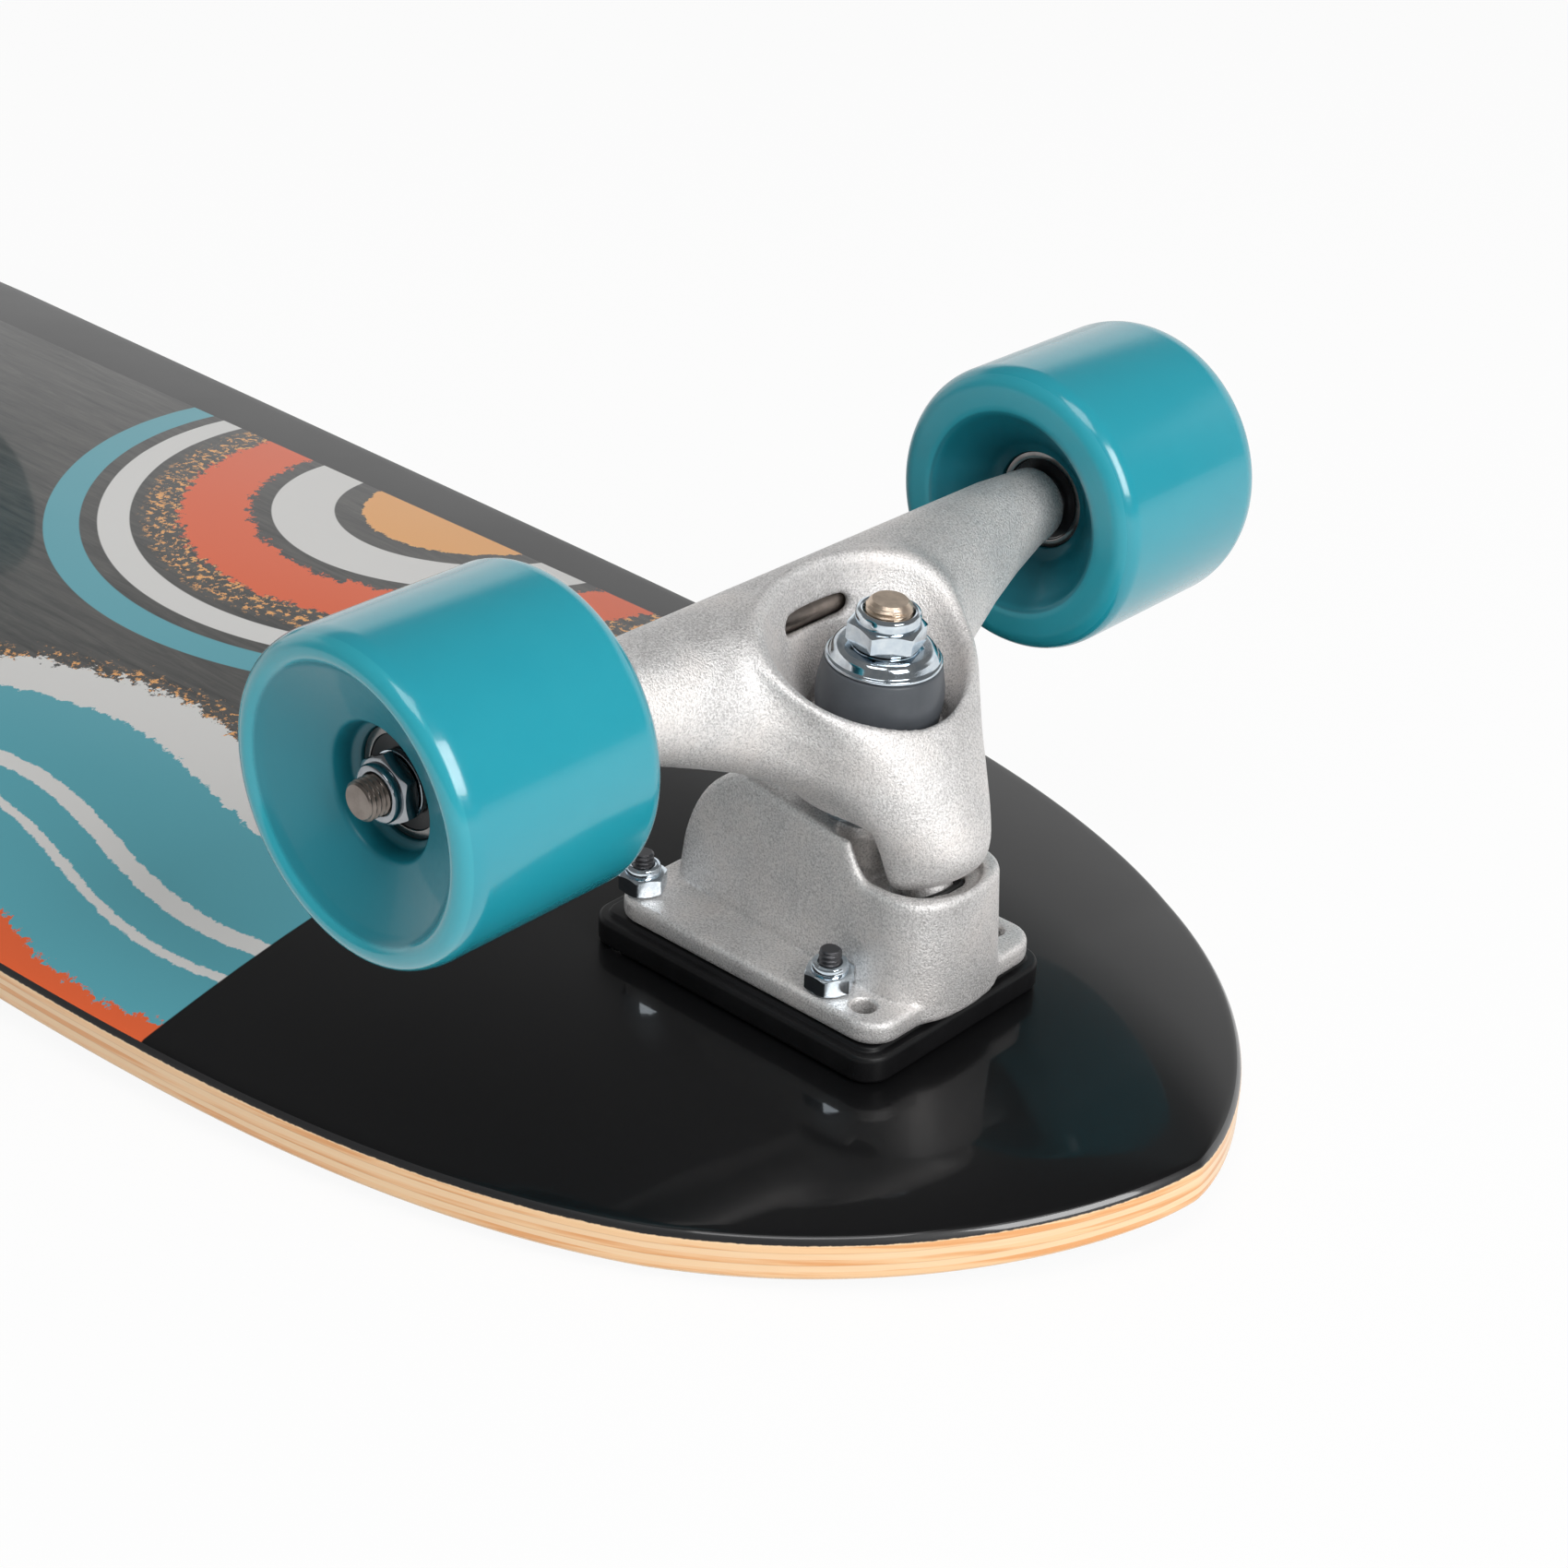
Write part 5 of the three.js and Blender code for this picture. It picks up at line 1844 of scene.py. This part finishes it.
@dataclass
class Riser:
    """The moulded riser pad: a rounded block with a low ledge round its seat."""

    length: float = 82.0
    width: float = 57.6
    corner: float = 6.0
    offset: float = 5.0
    ledge: float = 0.9
    ledge_run: float = 1.5
    ledge_width: float = 1.2
    bevel: float = 0.8

    def loop(self, inset: float, steps: int = 12) -> Array:
        """Draws a rectangle with round corners, seen from above.

        Args:
            inset: How far it is moved in from the pad's outline.
            steps: How many points each corner has.

        Returns:
            The outline's (x, y).
        """
        corner = max(self.corner - inset, 0.4)
        half = np.array([self.length, self.width]) / 2 - inset - corner
        quarter = np.linspace(0.0, math.pi / 2, steps)
        turns = (quarter[None, :] + np.arange(4)[:, None] * math.pi / 2).ravel()
        signs = np.repeat([[1, 1], [-1, 1], [-1, -1], [1, -1]], steps, axis=0)
        points = signs * half + corner * np.stack([np.cos(turns), np.sin(turns)], axis=-1)
        return points + [self.offset, 0.0]

    def shape(self) -> Shape:
        """Carries the pad's edge profile of (inset, height) round its outline, and closes it.

        Returns:
            The pad in the truck's frame.
        """
        top, bottom = SIZES.riser_top, SIZES.riser_bottom
        profile, _ = rounded([
            (self.width / 3, top), (self.ledge_run + self.ledge_width, top),
            (self.ledge_run + self.ledge_width * 0.7, top - self.ledge),
            (self.bevel * 0.6, top - self.ledge), (0.0, top - self.ledge - self.bevel),
            (0.0, bottom + self.bevel), (self.bevel, bottom), (self.width / 3, bottom),
        ], [0, 0.35, 0.3, 0.5, 0.5, 0.4, 0.4, 0], 4)
        loops = [(self.loop(inset), height) for inset, height in profile]
        rings = np.stack([np.column_stack([loop, np.full(len(loop), height)]) for loop, height in loops])
        ends = [np.broadcast_to(rings[row].mean(axis=0), rings[row].shape) for row in (0, -1)]
        return skin(np.concatenate([ends[:1], rings, ends[1:]]))


@dataclass
class Wheel:
    """A poured wheel on two shielded bearings, with everything on its end of the axle."""

    radius: float = 32.48
    half_width: float = 24.8
    middle: float = 93.7
    inner_bearing: float = 80.5
    outer_bearing: float = 97.5
    bearing_width: float = 7.0
    bearing_radius: float = 11.0
    seat: float = 11.1
    ridge: float = 9.3
    inner_washer: float = 79.2
    outer_washer: float = 104.8
    washer_thickness: float = 1.0
    washer_radius: float = 6.6
    spacer_foot: float = 87.8
    spacer_length: float = 9.4
    spacer_radius: float = 6.5
    bore: float = 4.15
    nut_foot: float = 106.1
    nut: Nut = Nut(12.7, 3.4, 5.7, 1.7, 4.05, 0.3)

    def tyre(self) -> Shape:
        """The wheel's profile: bearing seats, a dished inner recess, the tread, and the dish.

        Returns:
            The wheel, by its heights along the axle.
        """
        face, tread = self.half_width, self.radius
        low = self.inner_bearing - self.middle
        high = self.outer_bearing + self.bearing_width - self.middle
        width = self.bearing_width
        corners = [
            (self.ridge, low + width + 0.2), (self.seat, low + width + 0.2), (self.seat, low - 0.6),
            (13.2, low - 1.4), (20.6, -face + 2.6), (22.4, -face + 0.4), (24.0, -face),
            (29.6, -face), (tread, -face + 3.1), (tread, face - 4.2), (31.2, face - 1.0),
            (28.2, face), (25.9, face - 2.6), (13.4, face - 8.4), (12.7, high + 1.2),
            (self.seat, high + 0.5), (self.seat, high - width - 0.2), (self.ridge, high - width - 0.2),
        ]
        cuts = [0.3, 0.2, 0.3, 1.2, 2.0, 0.5, 0.7, 2.0, 2.6, 2.8, 1.6, 1.7, 1.1, 0.9, 0.8, 0.2, 0.2, 0.3]
        thin = [0, 0, 0, 0, 0, 0.2, 0.5, 0.5, 0.25, 0.2, 0.6, 0.7, 0.25, 0.05, 0, 0, 0, 0]
        # painted shade for each corner: full in the bearing seats and the inner recess, about half in the
        # dish's hub
        deep = [1, 1, 1, 1, 0.75, 0.6, 0, 0, 0, 0, 0, 0, 0.5, 0.45, 0.8, 1, 1, 1]
        gloss = [0.2, 0.2, 0.2, 0.3, 0.3, 0.4, 0.3, 0.5, 1, 1, 1, 1, 0.4, 0.25, 0.3, 0.2, 0.2, 0.2]
        tyre = lathe(corners, cuts, 160, 7, thin=thin, deep=deep, gloss=gloss)
        return tyre.placed(moved(0, 0, self.middle))

    def bearing(self, foot: float) -> Shape:
        """Turns both races and their dark shields, which are set back a little.

        Args:
            foot: The height of its inner face along the axle.

        Returns:
            The bearing.
        """
        width, outer, race, inner, bore = self.bearing_width, self.bearing_radius, 9.3, 6.1, 4.1
        dip = 0.5
        corners = [
            (bore, 0), (inner, 0), (inner, dip), (race, dip), (race, 0), (outer, 0),
            (outer, width), (race, width), (race, width - dip), (inner, width - dip),
            (inner, width), (bore, width),
        ]
        slots = [0, 0, 1, 0, 0, 0, 0, 0, 1, 0, 0, 0]
        return lathe(corners, 0.25, 72, 3, slots).placed(moved(0, 0, foot))

    def build(self, name: str, spot: Array, wheel_body: str, hanger_body: str) -> None:
        """Makes the wheel and the small pieces beside it.

        Args:
            name: The start of their nodes' names, such as front_left.
            spot: The matrix that takes heights outwards along the axle to the world.
            wheel_body: The body that turns.
            hanger_body: The body that carries the axle.
        """
        def fit(node: str, shape: Shape, finishes: Sequence[Finish], slot: Slot,
                body: str = hanger_body, sharp: float = 32.0) -> None:
            """Makes one piece on the axle."""
            make_piece(f"{name}_{node}", shape.placed(spot), finishes, slot, body, sharp=sharp)

        fit("wheel", self.tyre(), [WHEEL], Slot.URETHANE, wheel_body, 50)
        for node, foot in (("inner", self.inner_bearing), ("outer", self.outer_bearing)):
            fit(f"bearing_{node}", self.bearing(foot), [RACE_STEEL, SHIELD], Slot.BLACK_STEEL, wheel_body)
        for node, foot in (("inner", self.inner_washer), ("outer", self.outer_washer)):
            washer = ring(self.bore, self.washer_radius, foot, self.washer_thickness)
            fit(f"speed_washer_{node}", washer, [ZINC], Slot.ZINC)
        spacer = ring(self.bore, self.spacer_radius, self.spacer_foot, self.spacer_length)
        fit("spacer", spacer, [RAW_STEEL], Slot.STEEL)
        fit("axle_nut", self.nut.shape(self.nut_foot), [DARK_CHROME], Slot.BLACK_STEEL)


@dataclass
class Truck:
    """One truck: its castings, its kingpin with all that it clamps, its axle and its wheels."""

    end: End
    baseplate: Shape
    hanger: Shape
    road_bushing: tuple[float, ...] = (15.1, 12.2, 13.35, 12.0)
    board_bushing: tuple[float, ...] = (9.1, 9.8, 10.97, 12.0)
    road_keep: float = 0.80
    board_keep: float = 0.76
    belly_share: float = 0.53
    bushing_rounds: tuple[float, ...] = (0.7, 0.7, 3.0, 0.7, 0.7)
    washer_radius: float = 10.0
    washer_thickness: float = 1.5
    kingpin_nut: Nut = Nut(14.3, 4.9, 6.6, 2.7, 5.2, 0.3, -0.32)
    bolt_nut: Nut = Nut(9.5, 4.2, 3.9, 2.0, 2.45, 0.25, math.pi / 6)
    axle_thread: Thread = Thread(4.0, 1.06, 0.5, 0.7)
    axle_thread_foot: float = 103.0

    def __post_init__(self) -> None:
        """Finds the truck's place in the world."""
        self.place = read_truck_frame(self.end)

    def fixed(self, node: str, shape: Shape, finishes: Sequence[Finish], slot: Slot,
              replaced: Sequence[str] | None = None) -> bpy.types.Object:
        """Makes a piece that stays with the board, from its shape in the truck's frame."""
        name = f"{self.end.value}_{node}"
        return make_piece(name, shape.placed(self.place), finishes, slot, "board", replaced)

    def bushing(self, foot: float, sizes: Numbers, bore: float = 5.0) -> Shape:
        """A barrel or cone of urethane with soft edges, round the kingpin.

        Args:
            foot: Its lower height.
            sizes: Its height, and its radii at the foot, about half way up and at the top.
            bore: Its bore's radius.

        Returns:
            Its shape in the truck's frame.
        """
        height, low, belly, high = sizes
        top = foot + height
        corners = [(bore, foot), (low, foot), (belly, foot + height * self.belly_share),
                   (high, top), (bore, top)]
        return lathe(corners, self.bushing_rounds, 72, 5).placed(SIZES.kingpin())

    def cup_washer(self) -> Shape:
        """Turns a pressed washer: a thin lip, a domed shoulder and a flat top.

        Returns:
            Its shape in the truck's frame.
        """
        foot = SIZES.cup_washer_foot
        corners = [(4.9, foot), (11.9, foot), (11.9, foot + 0.8), (11.2, foot + 0.9),
                   (10.3, foot + 3.3), (4.9, foot + 3.3)]
        return lathe(corners, [0.1, 0.3, 0.35, 0.25, 2.4, 0.1], 96, 8).placed(SIZES.kingpin())

    def pivot_cup(self) -> Shape:
        """Turns the liner in the baseplate's housing: a cup with a spherical seat.

        Returns:
            Its shape in the truck's frame.
        """
        bore, floor, radius = 5.3, 1.5, 7.2
        diagonal = bore / math.sqrt(2)
        corners = [(0, -bore - floor), (radius, -bore - floor), (radius, 0.4), (bore, 0.4),
                   (bore, 0), (diagonal, -diagonal), (0, -bore)]
        return lathe(corners, [0, 0.6, 0.4, 0.15, 0.8, 1.6, 0], 48).placed(SIZES.pivot())

    def build_clamped(self) -> None:
        """Makes the kingpin and what it clamps, from the deck outwards."""
        kingpin = SIZES.kingpin()
        self.fixed("kingpin", Kingpin().shape().placed(kingpin), [RAW_STEEL], Slot.STEEL)
        washer = ring(5.0, self.washer_radius, SIZES.washer_foot, self.washer_thickness, 0.3, 64, 4)
        self.fixed("washer_board_side", washer.placed(kingpin), [ZINC], Slot.ZINC)
        axis = (self.place[:3, :3] @ kingpin[:3, 2]) / METRES_PER_MM
        for node, low, sizes, keep, anchored in (
            ("bushing_board_side", SIZES.board_bushing_foot, self.board_bushing, self.board_keep, 0.0),
            ("bushing_road_side", SIZES.road_bushing_foot, self.road_bushing, self.road_keep, 1.0),
        ):
            made = self.fixed(node, self.bushing(low, sizes), [BUSHING], Slot.BUSHING)
            anchor = self.place @ kingpin @ np.array([0, 0, low + anchored * sizes[0], 1.0])
            tuple(anchor[:3])
            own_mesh(made)
        self.fixed("cup_washer", self.cup_washer(), [ZINC], Slot.ZINC)
        nut = self.kingpin_nut.shape(SIZES.nut_foot).placed(kingpin)
        self.fixed("kingpin_nut", nut, [ZINC], Slot.ZINC)

    def build_bolts(self) -> None:
        """Makes each mounting bolt and its lock nut, which share a node."""
        for number, (x, y) in enumerate(SIZES.bolts(), start=1):
            spot = moved(x, y, 0)
            node = f"{self.end.value}_bolt_{number}"
            self.fixed(f"bolt_{number}", MountingBolt().shape().placed(spot), [BLACK_STEEL],
                       Slot.BLACK_STEEL)
            self.fixed(f"bolt_{number}_nut", self.bolt_nut.shape(GAP).placed(spot), [ZINC],
                       Slot.BLACK_STEEL, [node])

    def build(self) -> None:
        """Makes every piece of the truck."""
        self.fixed("riser", Riser().shape(), [RISER_PLASTIC], Slot.MOULDING)
        self.fixed("baseplate", self.baseplate, [CASTING], Slot.CASTING)
        self.fixed("pivot_cup", self.pivot_cup(), [CUP_LINER], Slot.LINER)
        self.build_clamped()
        self.build_bolts()
        body = f"{self.end.value}_hanger_body"
        make_piece(f"{self.end.value}_hanger", self.hanger.placed(self.place), [CASTING],
                   Slot.CASTING, body, sharp=60)
        axle = self.axle_thread.both_ends(self.axle_thread_foot, SIZES.axle_half)
        along = self.place @ SIZES.axle_end(1)
        # the axle takes the darker steel, partly painted shade for where it sits in the hanger's slot
        make_piece(f"{self.end.value}_axle", axle.placed(along), [DARK_AND_SHADED_AXLE_STEEL], Slot.STEEL, body)
        left = -1 if self.end is End.FRONT else 1
        for side_name, side in (("left", left), ("right", -left)):
            name = f"{self.end.value}_{side_name}"
            Wheel().build(name, self.place @ SIZES.axle_end(side), f"{name}_wheel_body", body)


# The board


@dataclass
class Board:
    """The laminated deck and the grip on its standing face."""

    length: float = 813.0
    thickness: float = 10.2
    edge_round: float = 2.0
    nose: float = 107.0
    rail_half: float = 114.38
    rail_spread: float = 0.0286
    nose_taper: float = 488.7
    nose_powers: Pair = (6.69, 1.443)
    tail_taper: float = 230.0
    tail_powers: Pair = (2.2, 2.8)
    tip_trim: float = 0.02
    concave: float = 6.8
    concave_half: float = 85.0
    concave_flat: float = 0.27
    kick_x: float = -555.98
    kick_radius: float = 120.0
    kick_angle: float = 11.0
    deck_top: float = -13.1
    grip_top: float = -23.6
    grip_thickness: float = 1.0
    grip_inset: float = 2.2
    head_radius: float = 5.0
    shank_radius: float = 2.7
    stations: int = 220
    spine_insets: Pair = (30.0, 40.0)
    face_reaches: tuple[float, ...] = (1.0, 0.86, 0.72, 0.6, 0.48, 0.36, 0.24, 0.14, 0.06, 0.02)

    def half_width(self, x: Array) -> Array:
        """Half the board's width.

        Rails that spread evenly from the nose, times for each end (1 - (1 - s)^p)^(1 / q), where
        s is the share of that end's taper that lies between x and the tip.

        Args:
            x: Where along the board.

        Returns:
            The half width at each x.
        """
        from_nose = np.maximum(self.nose + self.tip_trim - x, 0.0)
        from_tail = np.maximum(x - (self.nose - self.length) + self.tip_trim, 0.0)
        width = self.rail_half + self.rail_spread * from_nose
        for run, taper, (p, q) in (
            (from_nose, self.nose_taper, self.nose_powers),
            (from_tail, self.tail_taper, self.tail_powers),
        ):
            width = width * (1 - (1 - np.minimum(run / taper, 1.0)) ** p) ** (1 / q)
        return width

    def drop(self, x: Array, y: Array) -> Array:
        """How far the concave and the kick have taken the face down.

        The concave is its depth times the square of the share past its flat. The kick is an arc
        and then a straight slope.

        Args:
            x: Where along the board.
            y: Where across it.

        Returns:
            The depth at each place.
        """
        half = np.maximum(self.half_width(x), 1e-3)
        share = np.clip(np.abs(y) / half, 0.0, 1.0)
        rise = np.maximum(share - self.concave_flat, 0.0) / (1 - self.concave_flat)
        concave = self.concave * np.minimum(half / self.concave_half, 1.0) * rise**2
        angle = math.radians(self.kick_angle)
        bend = self.kick_radius * math.sin(angle)
        past = np.maximum(self.kick_x - x, 0.0)
        arc = self.kick_radius - np.sqrt(self.kick_radius**2 - np.minimum(past, bend) ** 2)
        return concave + arc + np.maximum(past - bend, 0.0) * math.tan(angle)

    def outline(self) -> tuple[Array, Array]:
        """Draws the plan outline as a closed loop.

        x runs as nose - length sin^2(t pi / 2), which crowds the points at both tips, once down
        one rail and back up the other. The normals are square to the central differences.

        Returns:
            The outline's (x, y), and its outward normals.
        """
        t = np.linspace(0.0, 1.0, self.stations)
        x = self.nose - self.length * np.sin(t * math.pi / 2) ** 2
        half = self.half_width(x)
        loop = np.concatenate([np.column_stack([x, half]), np.column_stack([x, -half])[::-1]])
        along = np.roll(loop, -1, axis=0) - np.roll(loop, 1, axis=0)
        normal = np.column_stack([along[:, 1], -along[:, 0]])
        normal = normal / np.linalg.norm(normal, axis=1, keepdims=True)
        facing = np.sign(np.sum(normal * (loop - [self.nose - self.length / 2, 0]), axis=1))
        return loop, normal * facing[:, None]

    def sheet(self, profile: Array, below: float) -> tuple[Array, Array]:
        """Carries an edge profile round the outline, and closes it over both faces.

        Args:
            profile: Rows of (inset from the outline, depth from the face, reach to the middle),
                where a reach of 0 is at the edge and 1 on the board's middle line.
            below: How far the sheet's face lies below the deck's.

        Returns:
            The grid by profile row and outline point, and the depth of each row.
        """
        loop, normal = self.outline()
        nose_inset, tail_inset = self.spine_insets
        middle = np.clip(loop[:, 0], self.nose - self.length + tail_inset, self.nose - nose_inset)
        spine = np.column_stack([middle, np.zeros(len(loop))])
        inset, depth, reach = (profile[:, i, None] for i in range(3))
        edge = loop[None] - normal[None] * inset[..., None]
        plan = edge * (1 - reach[..., None]) + spine[None] * reach[..., None]
        height = self.deck_top - below - self.drop(plan[..., 0], plan[..., 1]) - depth
        return np.concatenate([plan, height[..., None]], axis=-1), profile[:, 1]

    def edge_profile(self, inset: float, thickness: float, rounding: float) -> Array:
        """A sheet's profile: face, round edge, side, round edge, and the other face.

        Args:
            inset: Its inset from the deck's outline.
            thickness: Its thickness.
            rounding: The rounding of its edges.

        Returns:
            Rows of inset, depth and reach.
        """
        quarter = np.linspace(0.0, math.pi / 2, 8)
        inward, down = rounding * (1 - np.sin(quarter)), rounding * (1 - np.cos(quarter))
        upper = np.column_stack([inset + inward, down, 0 * quarter])
        lower = upper[::-1] * [1, -1, 1] + [0, thickness, 0]
        depths = np.linspace(rounding, thickness - rounding, 10)[1:-1]
        side = np.column_stack([np.full(8, inset), depths, np.zeros(8)])
        reaches = np.array(self.face_reaches)
        face = np.column_stack([np.full(len(reaches), inset + rounding), 0 * reaches, reaches])
        back = face[::-1] + [0, thickness, 0]
        return np.concatenate([face, upper, side, lower, back])

    def shape(self, inset: float, below: float, thickness: float, rounding: float) -> Shape:
        """Builds a sheet with its three regions: the face, the edge, and the other face.

        Args:
            inset: Its inset from the deck's outline.
            below: How far its face lies below the deck's.
            thickness: Its thickness.
            rounding: The rounding of its edges.

        Returns:
            The sheet, whose faces carry 0, 1 and 2 for those regions.
        """
        grid, depth = self.sheet(self.edge_profile(inset, thickness, rounding), below)
        rows, count = np.arange(len(depth) - 1), len(self.face_reaches)
        regions = np.where(rows < count + 2, 0, np.where(rows >= len(depth) - count, 2, 1))
        return skin(grid, row_slots=regions, row_tags={"depth": depth})

    def bolt_holes(self, place: Array, rear: float) -> list[Shape]:
        """The countersunk holes of all eight bolts, to cut with.

        Args:
            place: The deck's frame.
            rear: The middle of the rear truck's bolts.

        Returns:
            The holes in world metres.
        """
        face, top = self.grip_top - self.grip_thickness + 0.5, self.deck_top + 4
        corners = [(0, face - 4), (self.head_radius, face - 4), (self.head_radius, face),
                   (self.shank_radius, face + 2.6), (self.shank_radius, top), (0, top)]
        hole = lathe(corners, 0.0, 32, 1)
        spots = [(middle + x, y) for x, y in SIZES.bolts() for middle in (0.0, rear)]
        return [hole.placed(moved(x, y, 0)).placed(place) for x, y in spots]

    def build(self, place: Array, rear: float) -> None:
        """Makes the deck and the grip.

        Args:
            place: The deck's frame.
            rear: The middle of the rear truck's bolts.
        """
        deck = self.shape(0.0, 0.0, self.thickness, self.edge_round).placed(place)
        grip = self.shape(self.grip_inset, self.deck_top - self.grip_top, self.grip_thickness, 0.3)
        made_deck = make_piece("deck", deck, [PRINT, PLY, VENEER], Slot.DECK, "board", sharp=60)
        made_grip = make_piece("grip_tape", grip.placed(place), [GRIT, GRIT, GRIT], Slot.GRIP, "board")
        holes = self.bolt_holes(place, rear)
        for made in (made_deck, made_grip):
            drill(made, holes)


def drill(made: bpy.types.Object, holes: Sequence[Shape]) -> None:
    """Cuts holes in a finished piece.

    Args:
        made: The piece.
        holes: The holes in world metres.
    """
    mesh = bpy.data.meshes.new("drill")
    starts = np.cumsum([0] + [len(hole.points) for hole in holes])
    groups = [part + start for hole, start in zip(holes, starts) for part in hole.faces]
    points = np.concatenate([hole.points for hole in holes])
    mesh.from_pydata(points.tolist(), [], [face for group in groups for face in group.tolist()])
    tool = add_object("drill", mesh)
    cut = made.modifiers.new("holes", "BOOLEAN")
    cut.operation, cut.solver, cut.object = "DIFFERENCE", "EXACT", tool
    bpy.context.view_layer.update()
    evaluated = made.evaluated_get(bpy.context.evaluated_depsgraph_get())
    drilled = bpy.data.meshes.new_from_object(evaluated)
    made.modifiers.remove(cut)
    old = made.data
    made.data = drilled
    bpy.data.meshes.remove(old)
    bpy.data.objects.remove(tool)
    bpy.data.meshes.remove(mesh)


# The studio


@dataclass(frozen=True)
class Softbox:
    """A soft lamp that points at the truck."""

    name: str
    place: Place
    size: Pair
    power: float


@dataclass
class Studio:
    """The camera, the pale floor, the soft lamps and the white surround."""

    lens: float = 63.44
    sensor: float = 36.0
    camera_place: Place = (334.5, -380.5, 311.7)
    camera_right: Place = (0.734075, 0.678425, 0.029576)
    camera_down: Place = (0.350323, -0.341029, -0.872338)
    aim: Place = (0.25, 0.0, 0.05)
    floor_half: float = 60.0
    floor_colour: Colour = (0.93, 0.93, 0.925)
    floor_glow: float = 0.93
    floor_level: float = -0.0002
    ambient: float = 0.34
    backdrop: float = 0.95
    dusk: float = 0.16
    softboxes: tuple[Softbox, ...] = (
        Softbox("key_softbox", (1.75, -0.25, 0.95), (0.8, 1.0), 20.5),
        Softbox("top_softbox", (0.75, -0.75, 2.1), (0.9, 0.9), 8.5),
    )

    def build_camera(self, place: Array) -> None:
        """Puts the camera where the photograph was taken from.

        Args:
            place: The front truck's frame.
        """
        data = bpy.data.cameras.new("camera")
        data.lens, data.sensor_width, data.sensor_fit = self.lens, self.sensor, "HORIZONTAL"
        data.clip_start = 0.01
        camera = add_object("camera", data)
        turn = place[:3, :3] / METRES_PER_MM
        right = turn @ np.array(self.camera_right)
        up = -(turn @ np.array(self.camera_down))
        matrix = np.eye(4)
        matrix[:3, 0], matrix[:3, 1], matrix[:3, 2] = right, up, np.cross(right, up)
        matrix[:3, 3] = (place @ np.array([*self.camera_place, 1.0]))[:3]
        camera.matrix_world = Matrix(matrix.tolist())
        bpy.context.scene.camera = camera

    def build_floor(self) -> None:
        """Lays the floor, which is near white to the camera and keeps the board's shadow."""
        half = self.floor_half
        mesh = bpy.data.meshes.new("floor")
        signs = ((-1, -1), (1, -1), (1, 1), (-1, 1))
        corners = [(x * half, y * half, self.floor_level) for x, y in signs]
        mesh.from_pydata(corners, [], [(0, 1, 2, 3)])
        floor = add_object("floor", mesh)
        material, graph = new_material("studio_floor")
        diffuse = graph.node("ShaderNodeBsdfDiffuse", None, {"Color": rgba(self.floor_colour)})
        glow = graph.node("ShaderNodeEmission", None, {"Color": (1.0, 1.0, 1.0, 1.0), "Strength": 1.0})
        path = graph.node("ShaderNodeLightPath")
        seen = Value(graph, path.outputs["Is Camera Ray"])
        seen = seen + Value(graph, path.outputs["Is Glossy Ray"]) * 0.6
        seen = (seen + Value(graph, path.outputs["Is Transmission Ray"])).lowest(1.0) * self.floor_glow
        mixed = graph.node("ShaderNodeMixShader", None, {0: seen, 1: diffuse.outputs[0], 2: glow.outputs[0]})
        graph.end(mixed)
        mesh.materials.append(material)

    def build_lamps(self) -> None:
        """Hangs the softboxes."""
        for softbox in self.softboxes:
            data = bpy.data.lights.new(softbox.name, "AREA")
            data.shape, data.energy = "RECTANGLE", softbox.power
            data.size, data.size_y = softbox.size
            lamp = add_object(softbox.name, data)
            place = lamp.location = Vector(softbox.place)
            lamp.rotation_euler = (Vector(self.aim) - place).to_track_quat("-Z", "Y").to_euler()

    def build_surround(self) -> None:
        """Makes the surround white to the camera, and darker overhead in reflections."""
        world = bpy.data.worlds.new("studio")
        world.use_nodes = True
        bpy.context.scene.world = world
        graph = Graph(world.node_tree)
        direction = graph.node("ShaderNodeTexCoord").outputs["Generated"]
        x, y, up = graph.axes(direction)
        behind = (y * 0.75 - x * 0.66).above(0.3, 0.3)
        paper = behind * up.below(0.48, 0.12) * (self.backdrop - self.dusk)
        path = graph.node("ShaderNodeLightPath")
        seen = Value(graph, path.outputs["Is Camera Ray"])
        mirrored = Value(graph, path.outputs["Is Glossy Ray"])
        reflected = paper + self.dusk
        level = mirrored * (reflected - self.ambient) + self.ambient
        strength = level * (1.0 - seen) + seen
        background = graph.node("ShaderNodeBackground", None, {
            "Color": (1.0, 1.0, 1.0, 1.0), "Strength": strength,
        })
        graph.end(background, "ShaderNodeOutputWorld")

    def build(self, place: Array) -> None:
        """Makes the whole studio.

        Args:
            place: The front truck's frame.
        """
        self.build_camera(place)
        self.build_floor()
        self.build_lamps()
        self.build_surround()
        bpy.context.scene.view_settings.view_transform = "Standard"


def main() -> None:
    """Builds the board, then each truck from the same two castings, then the studio."""
    logging.basicConfig(level=logging.INFO, format="%(message)s")
    baseplate, hanger = Baseplate().shape(), Hanger().shape()
    trucks = [Truck(end, baseplate, hanger) for end in End]
    front, rear = (truck.place for truck in trucks)
    rear_origin = np.linalg.inv(front) @ rear[:, 3]
    Board().build(front, float(rear_origin[0]))
    for truck in trucks:
        truck.build()
    Studio().build(front)


if __name__ == "__main__":
    main()
